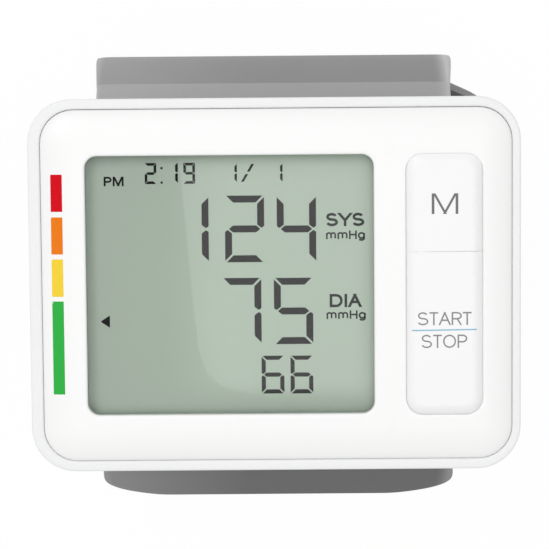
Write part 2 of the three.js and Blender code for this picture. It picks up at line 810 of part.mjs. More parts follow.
// Screw along +Z with its head below the origin plane of the seat
function screwSolid(length, headRadius, headHeight) {
  return turned(
    [
      [0, 0],
      [headRadius - 0.3, 0],
      [headRadius, 0.3],
      [headRadius, headHeight],
      [screwRadius, headHeight],
      [screwRadius, headHeight + length],
      [0, headHeight + length],
    ],
    at(0, 0, 0),
    at(0, 0, 1),
  );
}

function addScrews(group) {
  postPlaces.forEach(([x, y], index) => {
    const solid = screwSolid(screwLength, screwHeadRadius, screwHeadHeight);
    const screw = addPart(group, `housing_screw_${index + 1}`, solid, steel);
    screw.position.set(x, y, rearZ + postFoot - gap / 2 - screwHeadHeight);
  });
  cuffScrewPlaces.forEach(([x, y], index) => {
    const solid = screwSolid(cuffScrewLength, cuffScrewHeadRadius, cuffScrewHeadHeight);
    const screw = addPart(group, `cuff_screw_${index + 1}`, solid, steel);
    screw.position.set(x, y, plateUndersideZ + filmGap);
  });
}

// Cuff loop: curves of its outer face in the YZ plane
const hingeY = baseFlat / 2 + baseRadius * Math.sin(baseSweep);
const hingeZ = baseZ - baseRadius * (1 - Math.cos(baseSweep));
const plateDepth = coverThickness + layerGap;
const plateUndersideZ = baseZ - plateDepth - plateThickness;

function baseCurves() {
  const centre = baseZ - baseRadius;
  const top = Math.PI / 2;
  const half = baseFlat / 2;
  return [
    new THREE.EllipseCurve(-half, centre, baseRadius, baseRadius, top + baseSweep, top, true),
    new THREE.LineCurve(new THREE.Vector2(-half, baseZ), new THREE.Vector2(half, baseZ)),
    new THREE.EllipseCurve(half, centre, baseRadius, baseRadius, top, top - baseSweep, true),
  ];
}

const tongueRun = new THREE.Vector2(Math.cos(tongueSlope), Math.sin(tongueSlope));
const tongueNormal = new THREE.Vector2(-tongueRun.y, tongueRun.x);

// Y of the tongue's inner face at a height
function tongueInnerY(z) {
  const innerY = -hingeY - tongueNormal.x * bandThickness;
  const innerZ = hingeZ - tongueNormal.y * bandThickness;
  return innerY + ((z - innerZ) * tongueRun.x) / tongueRun.y;
}

function armCurves() {
  const half = footLength / 2;
  const reach = loopReach - half;
  const rise = Math.sqrt(1 - ((hingeY - half) / reach) ** 2);
  const middle = hingeZ / (1 + rise);
  const endZ = middle * (1 + Math.sin(armEndAngle));
  const tuckReach = (-tongueInnerY(endZ) - tuckGap / tongueRun.y - half) / Math.cos(armEndAngle);
  const down = -Math.PI / 2;
  return [
    new THREE.EllipseCurve(half, middle, reach, middle, Math.asin(rise), down, true),
    new THREE.LineCurve(new THREE.Vector2(half, 0), new THREE.Vector2(-half, 0)),
    new THREE.EllipseCurve(-half, middle, tuckReach, middle, down, -Math.PI - armEndAngle, true),
  ];
}

// Stations along a curve: place and outward normal at each share of its length
function stationsOn(curve, shares) {
  return shares.map((share) => {
    const place = curve.getPointAt(share);
    const along = curve.getTangentAt(share);
    return { place, normal: new THREE.Vector2(-along.y, along.x), share };
  });
}

function evenShares(from, to, steps) {
  return Array.from({ length: steps + 1 }, (_, i) => THREE.MathUtils.lerp(from, to, i / steps));
}

// Solid between two depths below the loop's outer face; each section lists x and depth
function sweep(stations, sectionAt) {
  const sections = stations.map(sectionAt);
  const rings = stations.map(({ place, normal }, i) => {
    return sections[i].map(([x, depth]) => at(x, place.x - normal.x * depth, place.y - normal.y * depth));
  });
  return loft(rings, sections[0].map(([x, depth]) => new THREE.Vector2(x, depth)));
}

// Cover section: a channel whose rounded edges turn in to the lining
function channel(left, right, thickness) {
  const r = cuffEdge;
  const bend = r * (1 - Math.SQRT1_2);
  const inner = coverThickness + layerGap / 2;
  return [
    [left + r, 0],
    [right - r, 0],
    [right - bend, bend],
    [right, r],
    [right, thickness - r],
    [right - bend, thickness - bend],
    [right - r, thickness],
    [right - inner, thickness],
    [right - inner, coverThickness],
    [left + inner, coverThickness],
    [left + inner, thickness],
    [left + r, thickness],
    [left + bend, thickness - bend],
    [left, thickness - r],
    [left, r],
    [left + bend, bend],
  ];
}

// The same outside without the channel, for the closed ends
function closedBand(left, right, thickness) {
  return channel(left, right, thickness).filter((_, i) => i < 7 || i > 10);
}

function strip(left, right, top, bottom) {
  return [
    [left, top],
    [right, top],
    [right, bottom],
    [left, bottom],
  ];
}

const halfCuff = cuffWidth / 2;
const baseSteps = 7;

// Thickness of the base: full under the monitor, thinning to the band's at each fold line
function baseThicknessAt(place) {
  const share = THREE.MathUtils.clamp((Math.abs(place.x) - baseFlat / 2) / (hingeY - baseFlat / 2), 0, 1);
  const ease = THREE.MathUtils.smoothstep(share, 0, 1);
  return THREE.MathUtils.lerp(baseThickness, bandThickness, ease);
}

function baseStations(share) {
  const [left, flat, right] = baseCurves();
  return [
    ...stationsOn(left, evenShares(1 - share, 1, baseSteps)),
    ...stationsOn(flat, [1 / 3, 2 / 3]),
    ...stationsOn(right, evenShares(0, share, baseSteps)),
  ];
}

function addBase(group) {
  const stations = baseStations(1);
  const x = halfCuff;
  const inner = coverThickness + layerGap;
  const screwHoles = cuffScrewPlaces.map(([along, y]) => {
    return rod(screwHoleRadius, at(along, y, hingeZ), at(along, y, rearZ));
  });
  const portHole = rod(portRadius + gap, at(manifoldX, 0, hingeZ), at(manifoldX, 0, rearZ));
  const cover = sweep(stations, ({ place }) => channel(-x, x, baseThicknessAt(place)));
  addPart(group, "base_cover", cut(cover, [...screwHoles, portHole]), lightFabric);
  const plateX = x - plateInset;
  const plate = sweep(stations, () => strip(-plateX, plateX, plateDepth, plateDepth + plateThickness / 2));
  const flatX = baseFlat / 2;
  const pad = box(-plateX, plateX, -flatX, flatX, plateUndersideZ, baseZ - plateDepth);
  const seatZ = plateUndersideZ + filmGap + cuffScrewHeadHeight + layerGap / 2;
  const heads = cuffScrewPlaces.map(([along, y]) => {
    return rod(cuffScrewHeadRadius + layerGap, at(along, y, hingeZ), at(along, y, seatZ));
  });
  const portSeat = rod(portFlangeRadius + gap, at(manifoldX, 0, hingeZ), at(manifoldX, 0, rearZ));
  addPart(group, "cuff_plate", cut(joined([plate, pad]), [...screwHoles, ...heads, portSeat]), darkPlastic);
  const lining = sweep(stations, ({ place }) => {
    const thickness = baseThicknessAt(place);
    return strip(inner - x, x - inner, thickness - liningThickness, thickness);
  });
  addPart(group, "base_lining", lining, liningFabric);
  const bladderTop = plateDepth + plateThickness + layerGap;
  const bladderX = x - bladderInset;
  const bladder = sweep(baseStations(bladderShare), ({ place }) => {
    const bottom = baseThicknessAt(place) - liningThickness - layerGap;
    return strip(-bladderX, bladderX, bladderTop, bottom);
  });
  addPart(group, "bladder", bladder, bladderFilm);
  addPort(group);
}

// Port that carries air from the manifold into the bladder, and its seal ring
function addPort(group) {
  const flangeTop = baseZ - plateDepth;
  const flangeLow = plateUndersideZ;
  const stemTop = floorZ + portBossHeight + 2 * gap + 2 * sealRadius + portReach;
  const flange = rod(portFlangeRadius, at(manifoldX, 0, flangeLow), at(manifoldX, 0, flangeTop));
  const stem = rod(portRadius, at(manifoldX, 0, flangeLow), at(manifoldX, 0, stemTop));
  const bore = rod(portBore, at(manifoldX, 0, flangeLow - 1), at(manifoldX, 0, stemTop + 1));
  addPart(group, "bladder_port", flange.add(stem).subtract(bore), darkPlastic);
  const ring = new THREE.TorusGeometry(portRadius + layerGap + sealRadius, sealRadius, 10, roundSides);
  ring.translate(manifoldX, 0, floorZ + portBossHeight + gap + sealRadius);
  const seal = solidFrom(ring);
  addPart(group, "port_seal", seal, blackRubber);
}

// Width lost to a rounded corner at a distance from the band's end
function cornerLoss(distance, corner) {
  const inside = Math.max(corner - distance, 0);
  return corner - Math.sqrt(corner ** 2 - inside ** 2);
}

// Shares of a length that follow a rounded corner at its far end
function cornerShares(length, corner) {
  const turns = evenShares(1, 0, cornerSteps);
  return turns.map((turn) => 1 - (corner / length) * (1 - Math.cos((Math.PI / 2) * turn)));
}

// Stations of the arm with the distance run from the fold line and the distance left to its end
function armStations(fromShare, toShare) {
  const [side, foot, tuck] = armCurves();
  const lengths = [side.getLength(), foot.getLength(), tuck.getLength()];
  const total = lengths[0] + lengths[1] + lengths[2];
  const corner = cornerShares(lengths[2], armCorner);
  const shares = [
    evenShares(hingeGap / lengths[0], 1, 16),
    [1 / 3, 2 / 3],
    [...evenShares(0, corner[0], 10).slice(0, -1), ...corner],
  ];
  let before = 0;
  const stations = [side, foot, tuck].flatMap((curve, i) => {
    const row = stationsOn(curve, shares[i]).map((station) => {
      const run = before + station.share * lengths[i];
      return { ...station, run, left: total - run };
    });
    before += lengths[i];
    return row;
  });
  return stations.filter(({ run }) => run / total >= fromShare && run / total <= toShare);
}

// Left and right edge of the arm: the right edge widens towards the foot, both round off at the end
function armEdges({ run, left }, inset) {
  const total = run + left;
  const grow = THREE.MathUtils.smoothstep(run, flareStart, flareStart + flareRise);
  const fade = 1 - THREE.MathUtils.smoothstep(run / total, 0.62, 0.95);
  const spread = armSpread * THREE.MathUtils.smoothstep(run / total, 0, 0.13);
  const half = halfCuff + spread - inset - cornerLoss(Math.max(left, 0), armCorner);
  return [-half, half + armFlare * grow * fade];
}

function addArm(group) {
  const stations = armStations(0, 1);
  const cover = sweep(stations, (s) => channel(...armEdges(s, 0), bandThickness));
  const close = stations.filter(({ left }) => left <= coverThickness + 0.4);
  const end = sweep(close, (s) => closedBand(...armEdges(s, 0), bandThickness));
  addPart(group, "arm_cover", cover.add(end), greyFabric);
  const lastLeft = close[0].left + layerGap;
  const inside = stations.filter(({ left }) => left > lastLeft);
  const inner = coverThickness + layerGap;
  const lining = sweep(inside, (s) => {
    return strip(...armEdges(s, inner), bandThickness - liningThickness, bandThickness);
  });
  addPart(group, "arm_lining", lining, liningFabric);
  const curlerTop = coverThickness + layerGap;
  const curlerLow = curlerTop + curlerThickness;
  const curler = sweep(inside, (s) => strip(...armEdges(s, curlerInset), curlerTop, curlerLow));
  addPart(group, "arm_curler", curler, darkPlastic);
  const wingTop = curlerLow + layerGap / 2;
  const wing = sweep(armStations(0, wingShare), (s) => {
    return strip(...armEdges(s, bladderInset), wingTop, wingTop + wingThickness);
  });
  addPart(group, "bladder_wing", wing, bladderFilm);
}

function addTongue(group) {
  const hinge = new THREE.Vector2(-hingeY, hingeZ);
  const tip = hinge.clone().addScaledVector(tongueRun, -tongueLength);
  const root = hinge.clone().addScaledVector(tongueRun, -hingeGap);
  const curve = new THREE.LineCurve(tip, root);
  const length = curve.getLength();
  const corner = cornerShares(length, tongueCorner).map((share) => 1 - share);
  const shares = [...corner.reverse(), ...evenShares(tongueCorner / length, 1, 2).slice(1)];
  const stations = stationsOn(curve, shares);
  const halfAt = ({ share }) => {
    return halfCuff + tongueSpread * (1 - share) - cornerLoss(share * length, tongueCorner);
  };
  const cover = sweep(stations, (s) => channel(-halfAt(s), halfAt(s), bandThickness));
  const close = stationsOn(curve, evenShares(0, coverThickness / length, 2));
  const end = sweep(close, (s) => closedBand(-halfAt(s), halfAt(s), bandThickness));
  addPart(group, "tongue_cover", cover.add(end), greyFabric);
  const inside = stationsOn(curve, evenShares((coverThickness + gap) / length, 1, 8));
  const coreTop = coverThickness + layerGap;
  const core = sweep(inside, (s) => {
    const x = halfAt(s) - curlerInset;
    return strip(-x, x, coreTop, coreTop + curlerThickness);
  });
  addPart(group, "tongue_core", core, darkPlastic);
  const tape = sweep(inside, (s) => {
    const x = halfAt(s) - hookInset;
    return strip(-x, x, bandThickness - hookThickness, bandThickness);
  });
  addPart(group, "hook_tape", tape, blackRubber);
}

const form = housingForm();
const room = housingRoom();
const monitor = new THREE.Group();
addPart(monitor, "rear_housing", buildHousing(form, room), rimPlastic);
addPart(monitor, "front_panel", buildPanel(), whitePlastic);
addPart(monitor, "battery_cover", buildBatteryCover(form, room), rimPlastic);
addDisplay(monitor);
addButtons(monitor);
addBoard(monitor);
addAirSystem(monitor);
addBatteries(monitor);
addScrews(monitor);

const cuff = new THREE.Group();
addBase(cuff);
addArm(cuff);
addTongue(cuff);

const wristMonitor = new THREE.Group();
wristMonitor.add(monitor, cuff);

export default wristMonitor;
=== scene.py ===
"""Looks of a wrist blood pressure monitor with a curled cuff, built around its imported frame.

Shapes are worked out in millimetres and put into the meshes in metres, in the frame's own axes:
the display faces +Z, +X is to its right and the cuff's loop lies in the YZ plane.
"""

import json
import math

import bmesh
import bpy
import numpy as np
from mathutils import Matrix, Vector


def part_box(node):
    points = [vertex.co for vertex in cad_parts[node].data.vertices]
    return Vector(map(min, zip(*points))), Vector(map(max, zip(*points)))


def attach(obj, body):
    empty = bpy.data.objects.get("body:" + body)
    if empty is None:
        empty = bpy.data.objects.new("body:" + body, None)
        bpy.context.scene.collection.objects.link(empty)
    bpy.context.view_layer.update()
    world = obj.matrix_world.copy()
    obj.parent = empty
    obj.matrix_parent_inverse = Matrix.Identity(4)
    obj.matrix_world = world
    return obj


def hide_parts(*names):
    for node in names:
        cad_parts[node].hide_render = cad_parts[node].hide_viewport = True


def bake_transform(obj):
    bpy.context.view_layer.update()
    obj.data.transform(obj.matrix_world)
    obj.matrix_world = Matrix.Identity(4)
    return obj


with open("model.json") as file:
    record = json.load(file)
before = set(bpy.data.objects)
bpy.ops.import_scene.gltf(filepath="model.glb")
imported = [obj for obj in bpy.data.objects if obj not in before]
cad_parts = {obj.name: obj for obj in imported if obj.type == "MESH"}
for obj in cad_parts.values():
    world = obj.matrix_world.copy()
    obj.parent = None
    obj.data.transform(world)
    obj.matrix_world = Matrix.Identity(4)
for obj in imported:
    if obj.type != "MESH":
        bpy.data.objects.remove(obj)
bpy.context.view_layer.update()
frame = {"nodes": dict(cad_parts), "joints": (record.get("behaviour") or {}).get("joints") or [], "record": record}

MM = 0.001
white = (1, 1, 1, 1)

# Housing
body_corner = 7.2
wall = 2.6
floor_thickness = 2.0
rim_roll = 0.35
rim_drop = 0.3
rim_inner_round = 0.36
groove = 0.05
rear_inset = 6.0
rear_round = 6.0
side_draft = 1.2
draft_height = 9.0
upper_draft = 0.16
ledge_depth = 4.0
least_corner = 0.4
least_beyond = 0.01
most_beyond = 0.64
ring_side = 16
ring_corner = 14

# Battery bay and its cover
bay_wall = 1.4
bay_room = 0.3
tray_room = 2.0
door_gap = 0.3
door_ease = 0.25
door_ease_shares = np.array([0, 0.05, 0.2, 0.5, 1])
door_field = (0.6, 0.5)
grip_depth = 0.4
grip_half = 0.64
grip_pitch = 1.8
grip_length = 14.0

# Front panel, window and buttons
panel_wall = 1.6
panel_ceiling = 1.8
crown_height = 1.55
crown_width = 5.0
crown_middle = 0.2
dome_power = 4
crown_band = 3.4
panel_shift = 0.3
pocket_lift = 0.02
skirt_gap = 0.3
field_side = 14
field_corner = 10
window_lip = 0.8
window_lip_thickness = 1.2
window_corner = 2.0
opening_round = 0.35
pane_gap = 0.04
sight_left = 0.2
sight_top = 0.19
pane_edge = 0.12
plate_edge = 0.1
button_flange = 0.8
button_flange_thickness = 1.2
flange_gap = 0.3
button_corner = 2.8
button_square = 0.05
button_gap = 0.006
button_room = 0.05
strip_trim_top = 0.2
strip_trim_low = 0.12
button_roll = 1.7
button_fall = 0.9
button_lip = 0.15
upper_fall_share = 0.6
upper_fall_reach = 3.0
split_gap = 0.008
split_rise = 0.12
split_roll = 0.2
split_fall = 0.17
split_left = 24.6
split_fade = 1.5

# Cuff
base_flat = 28.0
base_full = 6.8
band = 3.8
cover_thickness = 1.2
cover_rim = 1.3
cuff_edge = 0.8
edge_power = 0.6
cloth_crown = 0.13
crown_reach = 2.0
end_round = 1.1
end_power = 3
recess_begin = 3.0
recess_end = 2.6
lining_thickness = 1.0
lining_inset = 1.4
lining_edge = 0.5
lining_end = 3.4
foot_length = 28.0
half_cuff = 30.8
cuff_shift = -0.15
arm_spread = 1.25
spread_share = 0.13
arm_flare = 7.8
flare_start = 36.5
flare_rise = 8.9
flare_fade = (0.62, 0.95)
arm_corner = 8.0
arm_end_angle = math.radians(24)
tuck_gap = 2.0
tongue_length = 21.9
tongue_slope = math.radians(58)
tongue_spread_left = 1.25
tongue_spread_right = 1.6
tongue_corner = 8.0
tongue_corner_left = 16.0
tongue_corner_right = 17.0
hook_inset = 5.0
hook_rim = 4.7
hook_thickness = 1.2
hook_pad_thickness = 1.1
hook_end = 3.2
fold_reach = 3.0
fold_shares = np.array([1, 0.72, 0.45, 0.2, 0.04])
face_points = 26
edge_points = 15

# Painted light on the cuff's cloth: where it is painted paler, in millimetres along the weave and across it
painted_light_fold = (36, 28)
painted_light_left_reach = (-5, -29)
painted_light_left_edge = (-30, -31)
painted_light_right_edge = (28, 31.4)
painted_light_left_edge_level = 0.33

# Prints and display figures
ink = 0.02
film_step = 0.002
print_sharp = 20
least_slant = 0.2
bar_left = -36.25
bar_right = -34.35
bar_ends = {
    "red": (12.28, 18.32),
    "orange": (5.36, 11.39),
    "yellow": (-1.55, 4.56),
    "green": (-17.56, -2.3),
}
bar_colours = {
    "red": (0.651, 0.009, 0.017),
    "orange": (0.831, 0.202, 0.016),
    "yellow": (0.88, 0.638, 0.051),
    "green": (0.039, 0.429, 0.067),
}
# Painted shade on the display: where it turns paler towards the right and upwards, in millimetres
display_shade_right = (-20.0, -6.0)
display_shade_up = (-20.5, -15.5)

# Camera, as a distance, turn, rise, roll and slide from the middle of the display face
camera_distance = 0.4
camera_turn = math.radians(0.25)
camera_rise = math.radians(5.407)
camera_roll = math.radians(-0.48)
camera_slide = (-0.000092, 0.00182)
camera_target = Vector((0, 0, 0.08))
camera_lens = 161.59

# Light: what the window mirrors, and the levels of the cards, the world and the floor
card_height = 1500.0
card_margin = 6.0
glare_line = np.array([
    (-15.4, 21.2), (-13.4, -2.3), (-12.5, -10.6), (-11.2, -14.4), (-8.6, -16.6), (-2, -18.2), (16.5, -19.6),
])
bright_level = 1.45
dark_level = 0.1
border_level = 2.2
border_width = 1.0
fade_top = (21.4, 17.2)
fade_low = (-18.9, -16.4)
fade_right = (16.8, 12.8)
sky_level = 0.68
floor_white = 0.97
floor_reach = 3.0
floor_drop = 0.0002
lamp_aim = Vector((0, 0, 0.06))
lamp_size = 0.9


def node_box(node):
    """Lowest and highest corner of a CAD node in millimetres."""
    low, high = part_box(node)
    return np.array(low) / MM, np.array(high) / MM


# Places that the frame gives
body_low, body_high = node_box("rear_housing")
_, panel_high = node_box("front_panel")
pane_low, pane_high = node_box("display_window")
lcd_low, lcd_high = node_box("lcd_front_plate")
memory_low, memory_high = node_box("memory_button")
start_low, start_high = node_box("start_stop_button")
door_low, door_high = node_box("battery_cover")
cell_low, cell_high = node_box("battery_1")
_, base_high = node_box("base_cover")
_, arm_high = node_box("arm_cover")
_, hinge_y, hinge_z = np.array(frame["joints"][0]["pos_m"]) / MM

half_x, half_y, rim_z = body_high
rear_z = body_low[2]
floor_z = rear_z + floor_thickness
ledge_z = rim_z - ledge_depth
panel_x, panel_y, panel_top = panel_high
rim_width = half_x - panel_x - groove
panel_corner = body_corner - (half_x - panel_x)
panel_edge = panel_top - crown_height
ceiling_z = panel_top - panel_ceiling
window_left = pane_low[0] + window_lip + sight_left
window_right = pane_high[0] - window_lip
window_low = pane_low[1] + window_lip
window_high = pane_high[1] - window_lip + sight_top
strip_left = start_low[0] + button_flange - button_room
strip_right = start_high[0] - button_flange + button_room
strip_low = start_low[1] + button_flange - button_room + strip_trim_low
strip_high = memory_high[1] - button_flange + button_room - strip_trim_top
split_y = (memory_low[1] + start_high[1]) / 2 + split_rise
cap_top = start_high[2]
lcd_top = lcd_high[2]
bay_half = door_high[1] + door_gap
bay_low = door_low[2] - door_gap
bay_top = door_high[2] + door_gap
base_z = base_high[2]


def grid_faces(rows, columns, closed=True):
    """Quads between neighbours in a grid of points; closed joins the last column to the first."""
    row = np.arange(rows - 1)[:, None] * columns
    column = np.arange(columns if closed else columns - 1)[None, :]
    after = (column + 1) % columns
    quads = np.stack([row + column, row + after, row + columns + after, row + columns + column], -1)
    return quads.reshape(-1, 4)


def grid_border(index):
    """The border of a grid of point numbers, once round."""
    return np.concatenate([index[0], index[1:, -1], index[-1, -2::-1], index[-2:0:-1, 0]])


def wall_faces(edge, other):
    """Quads between two rows of point numbers that close on themselves."""
    return np.stack([edge, np.roll(edge, -1), np.roll(other, -1), other], -1)


def lofted(rings):
    """Closed skin over rings of equal count: quads between them and a flat face at each end."""
    rows, columns, _ = rings.shape
    ends = [list(range(columns))[::-1], list(range((rows - 1) * columns, rows * columns))]
    return rings.reshape(-1, 3), grid_faces(rows, columns).tolist() + ends


def at_height(outline, z):
    """An outline's points at one height or at a height for each point."""
    return np.column_stack([outline, np.broadcast_to(z, len(outline))])


def prism(outline, low, high):
    """A flat outline raised from one height to another."""
    return lofted(np.stack([at_height(outline, z) for z in (low, high)]))


def together(shapes):
    """Several shapes' points and faces as one, with the faces renumbered."""
    faces = []
    count = 0
    for points, own_faces in shapes:
        faces += [[count + int(i) for i in face] for face in own_faces]
        count += len(points)
    return np.concatenate([points for points, _ in shapes]), faces


def settle(mesh, sharp):
    """Joins equal points, turns faces outwards and smooths all but sharp edges, flat ends and prints."""
    work = bmesh.new()
    work.from_mesh(mesh)
    bmesh.ops.remove_doubles(work, verts=work.verts, dist=1e-6)
    bmesh.ops.dissolve_degenerate(work, edges=work.edges, dist=1e-7)
    bmesh.ops.recalc_face_normals(work, faces=work.faces)
    work.to_mesh(mesh)
    work.free()
    mesh.set_sharp_from_angle(angle=math.radians(sharp))
    sides = np.empty(len(mesh.polygons), np.int32)
    mesh.polygons.foreach_get("loop_total", sides)
    mesh.polygons.foreach_set("use_smooth", (sides <= 4) & (sharp > print_sharp))


def add_piece(name, points, faces, finishes):
    """A named object whose mesh has points in metres, faces and one finish or a list of them."""
    mesh = bpy.data.meshes.new(name)
    mesh.from_pydata(points.tolist(), [], faces)
    for material in finishes if isinstance(finishes, list) else [finishes]:
        mesh.materials.append(material)
    piece = bpy.data.objects.new(name, mesh)
    bpy.context.scene.collection.objects.link(piece)
    return piece


def make(name, shape, finishes, body=None, node=None, weave=None, finish_of=None, sharp=35):
    """A piece of the part from a shape in millimetres, with its body and the CAD node it stands for."""
    points, faces = shape
    piece = add_piece(name, points * MM, faces, finishes)
    mesh = piece.data
    if finish_of is not None:
        mesh.polygons.foreach_set("material_index", np.asarray(finish_of, np.int32))
    if weave is not None:
        corner = np.empty(len(mesh.loops), np.int32)
        mesh.loops.foreach_get("vertex_index", corner)
        layer = mesh.uv_layers.new(name="weave")
        layer.data.foreach_set("uv", np.asarray(weave, np.float32)[corner].ravel())
    settle(mesh, sharp)
    if body:
        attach(piece, body)
    if node:
        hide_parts(node)
    return piece


def make_print(name, shape, film, body="monitor"):
    """A printed piece: flat faces in one ink, and no CAD node behind it."""
    make(name, shape, film, body, sharp=print_sharp)


def quarter_turn(steps):
    """Angles from 0 to a quarter of a turn."""
    return np.linspace(0, math.pi / 2, steps)


def smoothstep(value, start, end):
    """Share from 0 at a start to 1 at an end, level at both: three times its square less twice its cube."""
    share = np.clip((value - start) / (end - start), 0, 1)
    return share * share * (3 - 2 * share)


def quarter_roll(distance, width):
    """Rise of a quarter ellipse, from 0 at an edge to 1 at its width and beyond."""
    share = np.clip(1 - distance / width, 0, 1)
    return np.sqrt(1 - share**2)


def rounded_loop(left, right, bottom, top, radii, side_steps=12, corner_steps=10, edge_turn=None):
    """Rounded rectangle as points and outward normals, from the bottom side round to the lower left corner.

    Each side is a straight row of points and each corner a quarter circle; edge_turn sets the angle of the
    first and last step of each corner.
    """
    radii = np.asarray(radii, float)
    centre = np.array([[right, bottom], [right, top], [left, top], [left, bottom]], float)
    centre += radii[:, None] * np.array([[-1, 1], [-1, -1], [1, -1], [1, 1]])
    turn = np.linspace(0, 90, corner_steps)
    if edge_turn is not None:
        inner = np.linspace(edge_turn, 90 - edge_turn, corner_steps - 2)
        turn = np.concatenate([[0], inner, [90]])
    angle = np.radians(np.array([-90, 0, 90, 180])[:, None] + turn)
    outward = np.stack([np.cos(angle), np.sin(angle)], -1)
    arcs = centre[:, None] + radii[:, None, None] * outward
    share = np.linspace(0, 1, side_steps, endpoint=False)[None, :, None]
    begin = np.roll(arcs[:, -1:], 1, axis=0)
    sides = begin + share * (arcs[:, :1] - begin)
    facing = np.repeat(outward[:, :1], side_steps, axis=1)
    points = np.concatenate([sides, arcs], axis=1).reshape(-1, 2)
    normals = np.concatenate([facing, outward], axis=1).reshape(-1, 2)
    return points, normals


# How the left, right, bottom and top of a rectangle move as it grows by one
outwards = np.array([-1, 1, -1, 1])


def stacked(levels, sides):
    """Closed skin over rounded rectangles, each grown by an amount, with a corner radius, at a height."""
    rings = []
    for grow, corner, z in levels:
        loop, _ = rounded_loop(*(sides + grow * outwards), [corner] * 4)
        rings.append(at_height(loop, z))
    return lofted(np.stack(rings))


def inside_distance(x, y, left, right, bottom, top, corner):
    """Distance from a point inside a rounded rectangle to its outline."""
    across = np.abs(x - (left + right) / 2) - (right - left) / 2 + corner
    along = np.abs(y - (bottom + top) / 2) - (top - bottom) / 2 + corner
    outside = np.hypot(np.maximum(across, 0), np.maximum(along, 0))
    return corner - outside - np.minimum(np.maximum(across, along), 0)


class Shade:
    """A socket of a node tree. Arithmetic on it adds Math nodes, and node() adds any other node."""

    def __init__(self, tree, socket=None):
        self.tree = tree
        self.socket = socket

    def node(self, kind, sockets=None, output=0, **settings):
        """Adds a node of a kind: its settings come first, then its sockets' values or links."""
        made = self.tree.nodes.new("ShaderNode" + kind)
        for name, value in settings.items():
            setattr(made, name, value)
        for name, value in (sockets or {}).items():
            if isinstance(value, Shade):
                self.tree.links.new(value.socket, made.inputs[name])
            else:
                made.inputs[name].default_value = value
        return Shade(self.tree, made.outputs[output] if len(made.outputs) else None)

    def other(self, output):
        """Another output of the node that this socket belongs to."""
        return Shade(self.tree, self.socket.node.outputs[output])

    def math(self, operation, *values):
        """A Math node of an operation on values or sockets."""
        return self.node("Math", dict(enumerate(values)), operation=operation)

    def __add__(self, value):
        return self.math("ADD", self, value)

    def __sub__(self, value):
        return self.math("SUBTRACT", self, value)

    def __rsub__(self, value):
        return self.math("SUBTRACT", value, self)

    def __mul__(self, value):
        return self.math("MULTIPLY", self, value)

    __radd__ = __add__
    __rmul__ = __mul__


def rgba(colour, level=1.0):
    """A colour at a level, as a socket takes it."""
    return (*(level * channel for channel in colour), 1)


def toned(tree, mask, colour, low, high):
    """A colour that runs between two levels of itself as the mask goes from 0 to 1."""
    factor, first, second, result = 0, 6, 7, 2
    mix = {factor: mask, first: rgba(colour, low), second: rgba(colour, high)}
    return tree.node("Mix", mix, result, data_type="RGBA")


def ramp(tree, value, start, end, kind="LINEAR"):
    """A mask that runs from 0 to 1 as a value goes from a start to an end."""
    low, high = sorted((start, end))
    rising = float(start < end)
    sockets = {"Value": value, "From Min": low, "From Max": high, "To Min": 1 - rising, "To Max": rising}
    return tree.node("MapRange", sockets, interpolation_type=kind)


def noise(tree, place, size, detail=2.0):
    """Noise whose features are about a size in millimetres on Object coordinates in metres."""
    sockets = {"Vector": place, "Scale": 1 / (size * MM), "Detail": detail, "Roughness": 0.55}
    return tree.node("TexNoise", sockets)


def bumped(tree, height, strength, depth):
    """A normal bumped by a height whose full depth is in millimetres."""
    return tree.node("Bump", {"Height": height, "Strength": strength, "Distance": depth * MM})


finish_by_slot = {}


def finish(surface):
    """Turns a function that builds a surface in an empty node tree into one that gives a named material."""

    def named(name, *values, **options):
        """The material, which is also kept under its name."""
        material = bpy.data.materials.new(name)
        material.use_nodes = True
        material.node_tree.nodes.clear()
        tree = Shade(material.node_tree)
        tree.node("OutputMaterial", {"Surface": surface(tree, *values, **options)})
        finish_by_slot[name] = material
        return material

    return named


@finish
def moulded(tree, colour, roughness, grain, grain_depth, sockets=None):
    """Moulded plastic: a slow drift of tone, roughness that wanders a little and a fine grain as bump."""
    place = tree.node("TexCoord", output="Object")
    drift = noise(tree, place, size=22)
    fine = noise(tree, place, size=grain, detail=3)
    return tree.node("BsdfPrincipled", {
        "Base Color": toned(tree, drift, colour, low=0.985, high=1.01),
        "Roughness": drift * 0.06 + fine * 0.05 + (roughness - 0.055),
        "Normal": bumped(tree, fine, strength=0.25, depth=grain_depth),
        "IOR": 1.5,
        **(sockets or {}),
    })


